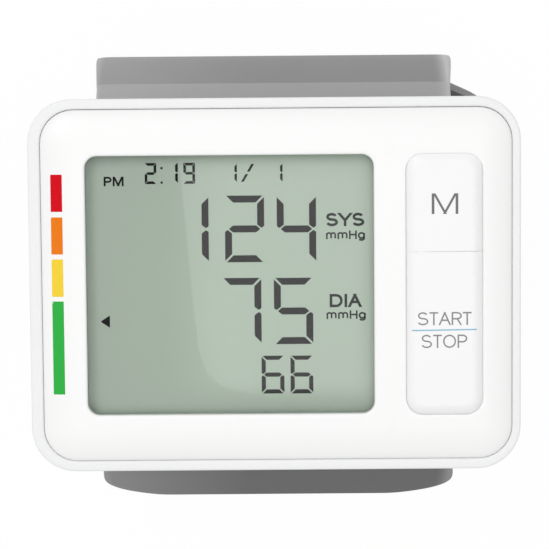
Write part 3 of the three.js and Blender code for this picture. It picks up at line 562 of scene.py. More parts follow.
@finish
def woven(tree, colour, pitch, thread_depth, sheen, nap, painted_light_left_level=0.0, painted_light_right_level=0.0):
    """Cloth on the weave map, in millimetres: crossing threads as bump, a brushed nap and tone that varies.

    Painted light: near the folds the colour pales slowly towards the left edge and fast towards the right one.
    """
    weave = tree.node("UVMap", uv_map="weave")
    along = tree.node("SeparateXYZ", {"Vector": weave})
    across = along.other("Y")
    turns = 2 * math.pi / pitch
    warp = along.math("SINE", along * turns)
    weft = along.math("SINE", across * turns)
    threads = warp * weft * 0.5 + 0.5
    fibres = tree.node("TexNoise", {"Vector": weave, "Scale": 1 / nap, "Detail": 4.0, "Roughness": 0.6})
    cloud = tree.node("TexNoise", {"Vector": weave, "Scale": 0.09, "Detail": 3.0})
    tone = fibres * 0.5 + cloud * 0.35 + threads * 0.15
    # Painted light: the colour pales towards the edges and the left, only near the folds
    right_edge = ramp(tree, across, *painted_light_right_edge)
    left_edge = ramp(tree, across, *painted_light_left_edge)
    edges = right_edge * right_edge * painted_light_right_level + left_edge * painted_light_left_edge_level
    painted_light_share = ramp(tree, across, *painted_light_left_reach) * painted_light_left_level + edges
    near_fold = ramp(tree, along, *painted_light_fold, "SMOOTHSTEP")
    level = (tone * 0.24 + 0.88) * (painted_light_share * near_fold + 1)
    return tree.node("BsdfPrincipled", {
        "Base Color": toned(tree, level * 0.5, colour, low=0, high=2),
        "Roughness": 0.95 - fibres * 0.12,
        "Normal": bumped(tree, threads * 0.6 + fibres * 0.8, strength=0.5, depth=thread_depth),
        "Sheen Weight": sheen,
        "Sheen Roughness": 0.45,
        "Specular IOR Level": 0.2,
    })


@finish
def printed(tree, colour, roughness=0.45, gloss=0.5):
    """Printed ink: a flat film with a faint unevenness of tone and gloss."""
    speck = noise(tree, tree.node("TexCoord", output="Object"), size=0.5)
    return tree.node("BsdfPrincipled", {
        "Base Color": toned(tree, speck, colour, low=0.96, high=1.04),
        "Roughness": speck * 0.1 + (roughness - 0.05),
        "Specular IOR Level": gloss,
    })


@finish
def clear_inside(tree, tint):
    """Back and edges of thin clear plastic: light passes straight through."""
    return tree.node("BsdfTransparent", {"Color": rgba(tint)})


@finish
def clear_face(tree, tint):
    """Face of thin clear plastic: light passes through, and it mirrors more the more it is seen edge on."""
    haze = noise(tree, tree.node("TexCoord", output="Object"), size=9)
    through = tree.node("BsdfTransparent", {"Color": rgba(tint)})
    mirror = tree.node("BsdfGlossy", {"Color": white, "Roughness": 0.012})
    share = tree.node("Fresnel", {"IOR": 1.5}) * (haze * 0.06 + 0.97)
    return tree.node("MixShader", {0: share, 1: through, 2: mirror})


@finish
def display_face(tree, colour):
    """Polariser over the display: grey green film with a fine grain, painted darker to the left and low as painted
    shade.
    """
    place = tree.node("TexCoord", output="Object")
    drift = noise(tree, place, size=30)
    grain = noise(tree, place, size=0.12)
    apart = tree.node("SeparateXYZ", {"Vector": place})
    # Painted shade: the film is darker towards the left and the bottom and paler up to the right
    aside = ramp(tree, apart, *(MM * end for end in display_shade_right), "SMOOTHSTEP")
    above = ramp(tree, apart.other("Y"), *(MM * end for end in display_shade_up), "SMOOTHSTEP")
    tone = drift * 0.15 + grain * 0.1 + aside * above * 0.75
    return tree.node("BsdfPrincipled", {
        "Base Color": toned(tree, tone, colour, low=0.955, high=1.13),
        "Roughness": grain * 0.1 + 0.45,
        "Specular IOR Level": 0.25,
    })


@finish
def metal(tree, colour, roughness, brush):
    """Plated metal: fine streaks along a brushing direction in its roughness, and slightly in its tone."""
    place = tree.node("TexCoord", output="Object")
    stretched = tree.node("Mapping", {"Vector": place, "Scale": brush})
    streak = noise(tree, stretched, size=0.3, detail=4)
    return tree.node("BsdfPrincipled", {
        "Base Color": toned(tree, streak, colour, low=0.9, high=1.05),
        "Roughness": streak * 0.2 + (roughness - 0.1),
        "Metallic": 1.0,
    })


@finish
def circuit_board(tree, colour):
    """Solder resist over copper: a darker ground, with paler raised traces on a cell pattern's edges."""
    cells = {"Vector": tree.node("TexCoord", output="Object"), "Scale": 420.0}
    edge = tree.node("TexVoronoi", cells, feature="DISTANCE_TO_EDGE", distance="CHEBYCHEV")
    trace_width = 0.06
    trace = edge.math("LESS_THAN", edge, trace_width)
    return tree.node("BsdfPrincipled", {
        "Base Color": toned(tree, trace, colour, low=1.0, high=1.8),
        "Roughness": 0.5 - trace * 0.12,
        "Normal": bumped(tree, trace, strength=0.3, depth=0.03),
    })


def seen(tree):
    """Rays that see the background: straight ones, mirrored ones and those that pass through glass."""
    ray = tree.node("LightPath", output="Is Camera Ray")
    mirrored = ray.math("MAXIMUM", ray, ray.other("Is Glossy Ray"))
    return ray.math("MAXIMUM", mirrored, ray.other("Is Transmission Ray"))


@finish
def lit_paper(tree, grey):
    """Paper that is grey in its shading and almost white to the rays that see it, so shadows are faint."""
    paper = tree.node("BsdfDiffuse", {"Color": rgba(grey)})
    glow = tree.node("Emission", {"Color": white, "Strength": 1.0})
    return tree.node("MixShader", {0: seen(tree) * floor_white, 1: paper, 2: glow})


@finish
def card_glow(tree, level, fades):
    """Light of a card, from the dark level to its own by a product of fades.

    A fade is an axis with its dark and its bright end.
    """
    place = tree.node("SeparateXYZ", {"Vector": tree.node("TexCoord", output="Object")})
    masks = [ramp(tree, place.other(axis), *ends) for axis, ends in fades]
    mask = math.prod(masks[1:], start=masks[0])
    colour = toned(tree, mask, white[:3], low=dark_level / level, high=1)
    return tree.node("Emission", {"Color": colour, "Strength": level})


white_plastic = moulded("white_plastic", (0.885, 0.885, 0.88), 0.36, 0.35, 0.01)
rim_plastic = moulded("rim_plastic", (0.82, 0.824, 0.824), 0.42, 0.3, 0.015)
button_plastic = moulded("button_plastic", (0.876, 0.876, 0.876), 0.42, 0.3, 0.012)
moulded("dark_plastic", (0.035, 0.036, 0.038), 0.5, 0.4, 0.02)
moulded("contact_rubber", (0.02, 0.02, 0.02), 0.8, 0.25, 0.03)
moulded("grey_foam", (0.13, 0.135, 0.14), 0.95, 0.6, 0.2)
moulded("clear_hose", (0.6, 0.61, 0.58), 0.35, 0.8, 0.01, {"Transmission Weight": 0.35})
moulded("bladder_film", (0.25, 0.28, 0.3), 0.45, 1.2, 0.05)
moulded("cell_wrap", (0.035, 0.05, 0.07), 0.3, 0.6, 0.01, {"Metallic": 0.4})
metal("bright_steel", (0.6, 0.61, 0.62), 0.34, (1, 14, 1))
metal("silver_film", (0.5, 0.55, 0.5), 0.5, (6, 1, 1))
circuit_board("board_green", (0.016, 0.1, 0.042))
clear_window = clear_face("clear_window", (0.985, 0.99, 0.985))
clear_back = clear_inside("clear_back", (0.995, 0.995, 0.995))
display_glass = display_face("display_glass", (0.52, 0.605, 0.52))
# Each cloth's last two values set its painted light towards the left and towards the right edge
light_fabric = woven("light_fabric", (0.35, 0.35, 0.35), 0.42, 0.06, 0.12, 0.3, 0.14, 0.75)
grey_fabric = woven("grey_fabric", (0.262, 0.262, 0.262), 0.42, 0.06, 0.12, 0.3, 0.26, 1.9)
# Painted shade: the tongue's cloth is the arm's grey cloth painted about half as dark, where it faces down
tongue_fabric = woven("tongue_fabric", (0.138, 0.138, 0.138), 0.42, 0.06, 0.12, 0.3, 0.75, 1.5)
lining_fabric = woven("lining_fabric", (0.085, 0.086, 0.088), 0.55, 0.08, 0.25, 0.4)
hook_pile = woven("hook_pile", (0.03, 0.03, 0.031), 0.9, 0.3, 0.15, 0.5)
figure_ink = printed("figure_ink", (0.008, 0.008, 0.008), gloss=0.1)
pointer_ink = printed("pointer_ink", (0.004, 0.004, 0.004), gloss=0.1)
legend_ink = printed("legend_ink", (0.008, 0.012, 0.009), gloss=0.1)
mark_ink = printed("mark_ink", (0.12, 0.12, 0.122))
button_ink = printed("button_ink", (0.2, 0.2, 0.2))
line_ink = printed("line_ink", (0.2, 0.44, 0.6))
bar_inks = {name: printed("bar_" + name, colour, gloss=0.0) for name, colour in bar_colours.items()}


def dress_inner_parts():
    """Gives every CAD node the finish of its slot in the record."""
    for part in frame["record"]["subparts"]:
        data = frame["nodes"][part["node"]].data
        data.materials.clear()
        data.materials.append(finish_by_slot[part["material_slot"]])


def housing_inset(z):
    """How far the outside is drawn in at a height: a quarter ellipse at the rear edge, then a draft."""
    rise = np.asarray(z, float) - rear_z
    turn = np.arccos(np.clip(1 - rise / rear_round, 0, 1))
    rounded = side_draft + (rear_inset - side_draft) * (1 - np.sin(turn))
    drafted = np.clip(side_draft * (1 - (rise - rear_round) / draft_height), 0, None)
    rim_rise = rim_z - rim_drop - rear_z
    upper = upper_draft * np.clip((rim_rise - rise) / (rim_rise - rear_round - draft_height), 0, 1)
    return np.where(rise < rear_round, rounded, drafted) + upper


def housing_ring(inset, z, shift, lift):
    """The housing's outline at an inset, with a point of each corner kept at the battery opening's end."""
    corner = max(body_corner - inset, least_corner)
    x = half_x - inset
    y = half_y - inset
    beyond = max(bay_half - (y - corner), least_beyond)
    edge_turn = math.degrees(math.asin(min(beyond / corner, most_beyond)))
    sides = (shift - x, shift + x, lift - y, lift + y)
    outline, _ = rounded_loop(*sides, [corner] * 4, ring_side, ring_corner, edge_turn)
    return at_height(outline, z)


def housing_profile():
    """Inset, height, shift and lift along the housing's section, and the battery opening's end rows.

    The section runs up the outside, over the rim, down the pocket for the panel and down the inside.
    """
    turn = quarter_turn(steps=9)
    rounded = rear_z + rear_round * (1 - np.cos(quarter_turn(steps=12)))
    sides = np.linspace(rear_z + rear_round, rear_z + rear_round + draft_height, 8)
    outer_z = np.unique(np.round(np.concatenate([rounded, sides, [bay_low, bay_top]]), 4))
    outer = np.column_stack([housing_inset(outer_z), outer_z])
    rim = np.column_stack([rim_roll * (1 - np.cos(turn)), rim_z - rim_drop * (1 - np.sin(turn))])
    round_in = rim_inner_round * np.column_stack([np.sin(turn) - 1, np.cos(turn) - 1])
    lip = np.array([rim_width, rim_z]) + round_in
    ledge = np.array([[rim_width, ledge_z], [wall, ledge_z]])
    near = 1e-3
    opened = (outer_z >= bay_low - near) & (outer_z <= bay_top + near)
    inner_z = np.interp(outer_z[opened], [bay_low, bay_top], [floor_z, bay_top])[::-1]
    inner = np.column_stack([housing_inset(inner_z) + wall, inner_z])
    first = int(np.argmax(opened))
    last = first + len(inner_z) - 1
    rows = np.concatenate([outer, rim, lip, ledge, inner])
    pocket = np.repeat([0, 1, 0], [len(outer) + len(rim), len(lip) + len(ledge), len(inner)])
    return np.column_stack([rows, pocket * panel_shift, pocket * pocket_lift]), first, last


def build_housing():
    """Rear housing: a section carried round its outline, open on the right for the battery cover."""
    rows, first, last = housing_profile()
    rings = np.stack([housing_ring(*row) for row in rows])
    count, columns, _ = rings.shape
    points, faces = lofted(rings)
    left = ring_side + ring_corner - 2
    right = 2 * ring_side + ring_corner + 1
    inner_first = count - (last - first + 1)
    index = np.arange(count * columns).reshape(count, columns)
    outer = index[first : last + 1, left : right + 1]
    inner = index[inner_first:, left : right + 1][::-1]
    row_of = np.repeat(np.arange(count - 1), columns)
    column_of = np.tile(np.arange(columns), count - 1)
    beside = (column_of >= left) & (column_of < right)
    opened = beside & (((row_of >= first) & (row_of < last)) | (row_of >= inner_first))
    kept = [face for face, hole in zip(faces, opened) if not hole] + faces[len(opened) :]
    walls = wall_faces(grid_border(outer), grid_border(inner))
    shape = (points, kept + walls.tolist())
    make("housing_shell", shape, rim_plastic, "monitor", "rear_housing", sharp=40)


def build_battery_tray():
    """Wall round the battery bay: a three sided outline raised from the floor to the bay's top."""
    left = cell_low[0] - bay_room
    outer = left - bay_wall
    right = half_x - side_draft - wall - tray_room
    far = bay_half + bay_wall
    outline = [
        (right, -far), (right, -bay_half), (left, -bay_half), (left, bay_half),
        (right, bay_half), (right, far), (outer, far), (outer, -far),
    ]
    shape = prism(outline[::-1], floor_z, bay_top)
    make("battery_tray", shape, rim_plastic, "monitor")


def side_face(y, z):
    """X of the housing's right side at a place: the drafted side, turning in at the corners."""
    corner = body_corner - housing_inset(z)
    beyond = np.clip(np.abs(y) - (half_y - body_corner), 0, None)
    return half_x - housing_inset(z) - corner + np.sqrt(np.maximum(corner**2 - beyond**2, 0))


def build_battery_door():
    """Battery cover: a patch of the right side, a wall deep, with eased edges and three grip grooves."""
    low, high = door_low[2], door_high[2]
    reach = door_high[1]
    near = door_ease * door_ease_shares
    in_y, in_z = door_field
    y = np.concatenate([-reach + near, np.linspace(-reach + in_y, reach - in_y, 130), reach - near[::-1]])
    z = np.concatenate([low + near, np.linspace(low + in_z, high - in_z, 60), high - near[::-1]])
    across, height = np.meshgrid(y, z)
    border = np.minimum(reach - np.abs(across), np.minimum(height - low, high - height))
    rise = height - (cell_low[2] + cell_high[2]) / 2
    step = np.clip(np.round(rise / grip_pitch), -1, 1)
    past_end = np.clip(np.abs(across) - grip_length / 2, 0, None)
    off_line = np.hypot(rise - step * grip_pitch, past_end)
    grip = grip_depth * np.sqrt(np.clip(1 - (off_line / grip_half) ** 2, 0, 1))
    side = side_face(across, height)
    face = side - door_ease * (1 - quarter_roll(border, door_ease)) - grip
    points = [np.stack([x, across, height], -1).reshape(-1, 3) for x in (face, side - wall)]
    count = across.size
    edge = grid_border(np.arange(count).reshape(across.shape))
    skin = grid_faces(*across.shape, closed=False)
    faces = np.concatenate([skin, skin + count, wall_faces(edge, edge + count)])
    shape = (np.concatenate(points), faces.tolist())
    make("battery_door", shape, rim_plastic, "battery_lid", "battery_cover")


def panel_height(x, y):
    """Height of the front panel: its edge, a quarter ellipse up the crown and a dome of fourth powers."""
    inside = inside_distance(x - panel_shift, y, -panel_x, panel_x, -panel_y, panel_y, panel_corner)
    dome = np.clip(1 - (x / panel_x) ** dome_power, 0, 1) * np.clip(1 - (y / panel_y) ** dome_power, 0, 1)
    crown = (crown_height - crown_middle) * quarter_roll(inside, crown_width)
    return panel_edge + crown + crown_middle * dome


def panel_field(hole, lip_round, bounds, radii):
    """Ring of the panel from an opening to a surrounding outline.

    Rows run from the outline's underside to the opening's, up its wall, round its lip and out over the top.
    Returns the rows and the outline with its normals.
    """
    *sides, corner = hole
    steps = (field_side, field_corner)
    turn = quarter_turn(steps=6)
    lips = []
    for grow in lip_round * (1 - np.cos(turn)):
        lip, _ = rounded_loop(*(sides + grow * outwards), [corner + grow] * 4, *steps)
        lips.append(lip)
    outer, normals = rounded_loop(*bounds, radii, *steps)
    rows = [at_height(outer, ceiling_z), at_height(lips[0], ceiling_z)]
    fall = lip_round * (1 - np.sin(turn))
    rows += [at_height(lip, panel_height(*lip.T) - drop) for lip, drop in zip(lips, fall)]
    for share in np.linspace(0, 1, 8)[1:]:
        flat = lips[-1] + share * (outer - lips[-1])
        rows.append(at_height(flat, panel_height(*flat.T)))
    return np.stack(rows), outer, normals


def build_panel():
    """Crowned front panel: a field round each opening, and a band that rolls down to the skirt."""
    split = (window_right + strip_left) / 2
    inner_x = panel_x - crown_band
    inner_y = panel_y - crown_band
    corner = panel_corner - crown_band
    window = (window_left, window_right, window_low, window_high, window_corner)
    gap = button_gap
    strip = (strip_left - gap, strip_right + gap, strip_low - gap, strip_high + gap, button_corner + gap)
    bounds = (panel_shift - inner_x, split, -inner_y, inner_y)
    left_rows, left_line, left_normals = panel_field(window, opening_round, bounds, [0, 0, corner, corner])
    bounds = (split, panel_shift + inner_x, -inner_y, inner_y)
    right_rows, right_line, right_normals = panel_field(strip, button_lip, bounds, [corner, corner, 0, 0])
    side = field_side + field_corner
    right_part = slice(0, 2 * side + field_side + 1)
    left_part = np.r_[2 * side : 4 * side, 0 : field_side + 1]
    outline = np.concatenate([right_line[right_part], left_line[left_part]])
    normals = np.concatenate([right_normals[right_part], left_normals[left_part]])
    turn = np.linspace(0, math.acos(1 - crown_band / crown_width), 18)
    rolled = []
    for distance in crown_band - crown_width * (1 - np.cos(turn))[::-1]:
        flat = outline + distance * normals
        rolled.append(at_height(flat, panel_height(*flat.T)))
    edge = outline + crown_band * normals
    inside = outline + (crown_band - panel_wall) * normals
    skirt_z = ledge_z + skirt_gap
    rolled += [at_height(edge, z) for z in np.linspace(panel_edge, skirt_z, 5)[1:]]
    rolled += [at_height(inside, skirt_z), at_height(inside, ceiling_z), at_height(outline, ceiling_z)]
    shapes = []
    for rows in (left_rows, right_rows, np.stack(rolled)):
        shapes.append((rows.reshape(-1, 3), grid_faces(*rows.shape[:2]).tolist()))
    shape = together(shapes)
    make("panel_shell", shape, white_plastic, "monitor", "front_panel", sharp=50)


def build_window():
    """Clear window: a plate with a lip behind the panel and a raised middle with eased edges."""
    lip = window_lip - sight_top
    lip_z = pane_low[2] + window_lip_thickness
    turn = quarter_turn(steps=5)
    grows = [lip, lip, -pane_gap, *(-pane_gap - pane_edge * (1 - np.cos(turn)))]
    heights = [pane_low[2], lip_z, lip_z, *(pane_high[2] - pane_edge * (1 - np.sin(turn)))]
    levels = [(grow, window_corner + grow, z) for grow, z in zip(grows, heights)]
    shape = stacked(levels, (window_left, window_right, window_low, window_high))
    inside = np.append(np.ones(len(shape[1]) - 1, int), 0)
    finishes = [clear_window, clear_back]
    make("window_pane", shape, finishes, "monitor", "display_window", finish_of=inside)


def build_display():
    """Display plate: a slab with eased edges."""
    low, high = lcd_low[2], lcd_top
    grows = [-plate_edge, 0, 0, -plate_edge]
    heights = [low, low + plate_edge, high - plate_edge, high]
    levels = [(grow, least_corner, z) for grow, z in zip(grows, heights)]
    shape = stacked(levels, (lcd_low[0], lcd_high[0], lcd_low[1], lcd_high[1]))
    make("display_plate", shape, display_glass, "monitor", "lcd_front_plate")


def cap_height(x, y):
    """Height of the button strip: its top less a parabola along its outline, eased at the upper end."""
    inside = inside_distance(x, y, strip_left, strip_right, strip_low, strip_high, button_corner)
    eased = (1 - upper_fall_share) * smoothstep(y, strip_high - upper_fall_reach, strip_high)
    return cap_top - button_fall * (1 - eased) * np.clip(1 - inside / button_roll, 0, 1) ** 2


def build_cap(name, node, body, low, high, upper):
    """Button cap: nested outlines, rolled down at the strip's edge and eased at the split between caps."""

    def loop(inset, split_inset, corner):
        """Outline of the cap, drawn in by one inset at the strip's edge and by another at the split."""
        ends = (low + split_inset, high - inset) if upper else (low + inset, high - split_inset)
        radii = np.where([upper, not upper, not upper, upper], button_square, corner)
        return rounded_loop(strip_left + inset, strip_right - inset, *ends, radii, side_steps=24)[0]

    turn = quarter_turn(steps=16)
    inward = np.linspace(0, button_roll, len(turn))
    toward = split_roll * (1 - np.cos(turn))
    least_z = cap_top - button_fall - split_fall
    flange_z = ceiling_z - flange_gap
    wide = loop(button_room - button_flange, 0, button_corner)
    plain = loop(0, 0, button_corner)
    flange_low = flange_z - button_flange_thickness
    rings = [at_height(wide, flange_low), at_height(wide, flange_z), at_height(plain, flange_z)]
    for inset, split_inset in zip(inward, toward):
        flat = loop(inset, split_inset, max(button_corner - inset, least_corner))
        edge = flat[:, 1] - low if upper else high - flat[:, 1]
        shown = smoothstep(flat[:, 0], split_left - split_fade, split_left + split_fade)
        eased = shown * split_fall * (1 - quarter_roll(edge, split_roll))
        rings.append(at_height(flat, np.maximum(cap_height(*flat.T) - eased, least_z)))
    make(name, lofted(np.stack(rings)), button_plastic, body, node, sharp=50)


def build_caps():
    """The two button caps, one on each side of the split."""
    above = split_y + split_gap / 2
    below = split_y - split_gap / 2
    build_cap("memory_cap", "memory_button", "memory_key", above, strip_high, True)
    build_cap("start_stop_cap", "start_stop_button", "start_stop_key", strip_low, below, False)


def ribbon(path, width, surface, film=ink):
    """A printed stroke: a strip of a width along a path, lying on a surface and as thick as the ink film.

    A curved or level path has its width across it; a straight slanting one has it level, and level ends.
    """
    path = np.asarray(path, float)
    along = np.gradient(path, axis=0)
    along /= np.linalg.norm(along, axis=1)[:, None]
    side = np.column_stack([-along[:, 1], along[:, 0]]) * width / 2
    if len(path) == 2 and abs(along[0, 1]) > least_slant:
        side = np.tile([width / 2 / abs(along[0, 1]), 0], (2, 1))
    left = path + side
    right = path - side
    rows = [left, right, right, left]
    lift = [film, film, -film, -film]
    rings = np.stack([at_height(row, surface(*row.T) + rise) for row, rise in zip(rows, lift)], axis=1)
    return lofted(rings)


def arc(x, y, reach_x, reach_y, start, end):
    """Points on an ellipse from one angle to another, in degrees."""
    turn = np.radians(np.linspace(start, end, 24))
    return np.column_stack([x + reach_x * np.cos(turn), y + reach_y * np.sin(turn)])


def straight(*ends):
    """A straight stroke from x and y of its start to x and y of its end."""
    return np.reshape(ends, (2, 2)).astype(float)


def bowl(top, low):
    """A bowl from a stem's top out and back to the stem, as on P, R and D."""
    turned = arc(0.5, (top + low) / 2, 0.5, (top - low) / 2, 90, -90)
    return np.concatenate([[(0, top)], turned, [(0, low)]])


stem = straight(0, 0, 0, 1)
far_stem = straight(1, 0, 1, 1)
small_arches = [np.concatenate([arc(x + 0.25, 0.5, 0.25, 0.28, 165, 0), [(x + 0.5, 0)]]) for x in (0, 0.5)]
hook = np.concatenate([[(1, 0.74)], arc(0.5, -0.04, 0.5, 0.24, 0, -150)])
upper_curve = arc(0.48, 0.755, 0.44, 0.245, 22, 262)
lower_curve = arc(0.5, 0.255, 0.5, 0.255, 84, -160)
branches = [straight(0, 1, 0.5, 0.42), straight(1, 1, 0.5, 0.42)]

# Letters as strokes in a box one wide and one high, with the box's width and the room that it takes on the
# left and right as shares of its height
letters = {
    "A": (0.84, 0.0, 0.0, [straight(0, 0, 0.5, 1), straight(1, 0, 0.5, 1), straight(0.2, 0.36, 0.8, 0.36)]),
    "D": (0.84, 0.08, 0.05, [stem, bowl(1, 0)]),
    "H": (0.78, 0.09, 0.09, [stem, far_stem, straight(0, 0.52, 1, 0.52)]),
    "I": (0.0, 0.1, 0.1, [stem]),
    "M": (1.0, 0.09, 0.09, [stem, straight(0.08, 1, 0.5, 0), straight(0.92, 1, 0.5, 0), far_stem]),
    "O": (0.96, 0.04, 0.04, [arc(0.5, 0.5, 0.5, 0.5, 0, 360)]),
    "P": (0.68, 0.09, 0.02, [stem, bowl(1, 0.45)]),
    "R": (0.72, 0.09, 0.02, [stem, bowl(1, 0.48), straight(0.55, 0.48, 0.95, 0)]),
    "S": (0.76, 0.04, 0.04, [np.concatenate([upper_curve, lower_curve])]),
    "T": (0.72, 0.0, 0.0, [straight(0, 1, 1, 1), straight(0.5, 0, 0.5, 1)]),
    "Y": (0.84, 0.0, 0.0, branches + [straight(0.5, 0, 0.5, 0.48)]),
    "m": (1.06, 0.09, 0.09, [straight(0, 0, 0, 0.76)] + small_arches),
    "g": (0.68, 0.05, 0.09, [arc(0.5, 0.38, 0.5, 0.38, 0, 360), hook]),
}


def full_height(path, stroke):
    """A straight slanting stroke carried on to the foot and top of its letter where it ends on them."""
    along = path[1] - path[0]
    near = 0.01
    beyond = np.where(path[:, 1] < near, -1, 0) + np.where(path[:, 1] > 1 - near, 1, 0)
    return path + along * (beyond * stroke / along[1])[:, None]


def word(text, left, right, low, high, stroke, surface, slant_share=1.0):
    """A word between a left and right edge, a base line and a cap height, as ribbons on a surface."""
    tall = high - low - stroke
    width, before, after = tall * np.array([letters[letter][:3] for letter in text]).T
    gaps = before[1:] + after[:-1]
    spare = right - left - stroke * len(text)
    fit = spare / (width.sum() + gaps.sum())
    begin = left + stroke / 2 + np.concatenate([[0], np.cumsum((width[:-1] + gaps) * fit + stroke)])
    strokes = []
    for letter, x, wide in zip(text, begin, width * fit):
        for path in letters[letter][3]:
            rising = len(path) == 2 and path[0, 1] != path[1, 1]
            thick = stroke * (slant_share if rising and path[0, 0] != path[1, 0] else 1)
            reach = full_height(path, stroke / 2 / tall) if rising else path
            film = ink + film_step * len(strokes)
            strokes.append(ribbon(reach * (wide, tall) + (x, low + stroke / 2), thick, surface, film))
    return together(strokes)


def segment_outlines(width, height, stroke, gap):
    """The seven bars of a figure: mitred where two meet at a corner, pointed where three meet."""
    middle = height / 2
    half = stroke / 2
    tip = 0.38 * stroke
    point = half + 0.3 * gap
    shoulder = stroke + 0.75 * gap
    below = height - stroke
    top = np.array([
        (gap, height), (width - gap, height), (width - stroke - gap, below), (stroke + gap, below),
    ])
    upper = np.array([
        (0, height - gap), (stroke, below - gap), (stroke, middle + half + 0.6 * gap),
        (tip, middle + 0.7 * gap), (0, middle + tip + 0.2 * gap),
    ])
    centre = np.array([
        (point, middle), (shoulder, middle + half), (width - shoulder, middle + half),
        (width - point, middle), (width - shoulder, middle - half), (shoulder, middle - half),
    ])
    return {
        "a": top,
        "b": upper * (-1, 1) + (width, 0),
        "c": upper * (-1, -1) + (width, height),
        "d": top * (1, -1) + (0, height),
        "e": upper * (1, -1) + (0, height),
        "f": upper,
        "g": centre,
    }


figure_bars = {"1": "bc", "2": "abged", "4": "fgbc", "5": "afgcd", "6": "afgecd", "7": "abc", "9": "abcdfg"}
figure_sizes = {
    "tall": {"width": 6.4, "height": 10.9, "stroke": 1.13, "gap": 0.24},
    "small": {"width": 3.72, "height": 6.25, "stroke": 0.68, "gap": 0.16},
    "clock": {"width": 1.9, "height": 3.42, "stroke": 0.44, "gap": 0.05},
    "date": {"width": 1.9, "height": 3.1, "stroke": 0.41, "gap": 0.08},
}

# Figures on the display: each row's ink and size, and every figure with its right edge and base line
figure_rows = {
    "systolic_figures": (figure_ink, "tall", [("1", -10.78, 3.6), ("2", -1.71, 3.6), ("4", 6.76, 3.53)]),
    "diastolic_figures": (figure_ink, "tall", [("7", -2.28, -9.89), ("5", 6.19, -9.93)]),
    "pulse_figures": (figure_ink, "small", [("6", 1.39, -18.09), ("6", 6.13, -18.11)]),
    "clock_figures": (pointer_ink, "clock", [("2", -19.21, 16.5), ("1", -15.7, 16.6), ("9", -12.9, 16.5)]),
    "date_figures": (figure_ink, "date", [("1", -6.07, 16.65), ("1", 1.36, 16.65)]),
}
clock_dot = np.array([(-18.53, 0), (-18.17, 0), (-18.17, 0.36), (-18.53, 0.36)])
clock_dot_heights = (16.55, 18.9)
slash_width = 0.39
slash_parts = [straight(-5.2, 16.75, -4.46, 18.0), straight(-4.22, 18.4, -3.5, 19.65)]
pointer_outline = [(-28.66, -6.0), (-27.12, -7.02), (-27.12, -5.0)]

# Words: the text, its left and right edge, base line, cap height and stroke
legends = {
    "systolic_legend": ("SYS", 8.36, 14.63, 9.37, 11.55, 0.43),
    "systolic_unit": ("mmHg", 8.37, 14.73, 7.26, 8.66, 0.27),
    "diastolic_legend": ("DIA", 8.9, 14.1, -3.92, -1.74, 0.43),
    "diastolic_unit": ("mmHg", 8.37, 14.8, -5.86, -4.46, 0.27),
    "clock_legend": ("PM", -27.8, -24.56, 16.2, 17.74, 0.31),
}
memory_word = ("M", 25.42, 29.7, 11.5, 14.82, 0.42)
memory_slant_share = 0.86
start_word = ("START", 23.09, 31.95, -6.58, -4.46, 0.23)
stop_word = ("STOP", 23.69, 31.13, -10.31, -8.15, 0.23)
rule_ends = straight(22.2, -7.44, 32.7, -7.33)
rule_width = 0.2


def raised(outline):
    """A flat outline as a film of ink on the display."""
    return prism(outline, lcd_top - ink, lcd_top + ink)


def on_display(x, _):
    """Height of the display at every place."""
    return np.full(np.shape(x), lcd_top)


def build_figures():
    """The display's figures: pressures, pulse, time and date, the level pointer and the printed legends."""
    extras = {
        "clock_figures": [raised(clock_dot + (0, y)) for y in clock_dot_heights],
        "date_figures": [ribbon(part, slash_width, on_display) for part in slash_parts],
    }
    for name, (film, size_name, figures) in figure_rows.items():
        size = figure_sizes[size_name]
        bars = segment_outlines(**size)
        shapes = []
        for value, right, low in figures:
            shapes += [raised(bars[bar] + (right - size["width"], low)) for bar in figure_bars[value]]
        make_print(name, together(shapes + extras.get(name, [])), film)
    make_print("level_pointer", raised(pointer_outline), pointer_ink)
    for name, fit in legends.items():
        make_print(name, word(*fit, on_display), pointer_ink if name == "clock_legend" else legend_ink)


def build_prints():
    """Printed colour bars on the panel, domed by the ink's thickness, and words on the buttons."""
    for name, (low, high) in bar_ends.items():
        x, y = np.meshgrid(np.linspace(bar_left, bar_right, 9), np.linspace(low, high, 25))
        edge = (x == x.min()) | (x == x.max()) | (y == y.min()) | (y == y.max())
        film = np.where(edge, 0, ink)
        points = [np.stack([x, y, panel_height(x, y) + lift], -1).reshape(-1, 3) for lift in (film, -film)]
        skin = grid_faces(*x.shape, closed=False)
        shape = (np.concatenate(points), np.concatenate([skin, skin[:, ::-1] + x.size]).tolist())
        make("level_bar_" + name, shape, bar_inks[name], "monitor", sharp=60)
    make_print("memory_mark", word(*memory_word, cap_height, memory_slant_share), mark_ink, "memory_key")
    rule = np.linspace(*rule_ends, 40)
    make_print("start_mark", word(*start_word, cap_height), button_ink, "start_stop_key")
    make_print("stop_mark", word(*stop_word, cap_height), button_ink, "start_stop_key")
    make_print("start_stop_rule", ribbon(rule, rule_width, cap_height), line_ink, "start_stop_key")


def joined_path(pieces):
    """Places and normals of stretches in one row, and the run from its start, with no place twice."""
    place = np.concatenate([p for p, _ in pieces])
    normal = np.concatenate([n for _, n in pieces])
    step = np.linalg.norm(np.diff(place, axis=0), axis=1)
    keep = np.concatenate([[True], step > 1e-6])
    run = np.concatenate([[0], np.cumsum(step)])
    return place[keep], normal[keep], run[keep]


def ellipse_stretch(centre, reach, start, end, steps):
    """Part of an ellipse in the YZ plane with its outward normals."""
    turn = np.linspace(start, end, steps)
    unit = np.column_stack([np.cos(turn), np.sin(turn)])
    normal = unit / np.array(reach)
    normal /= np.linalg.norm(normal, axis=1)[:, None]
    return np.array(centre) + unit * np.array(reach), normal


def flat_stretch(begin, end, normal, steps):
    """A straight line in the YZ plane with one normal."""
    return np.linspace(begin, end, steps), np.tile(np.array(normal, float), (steps, 1))


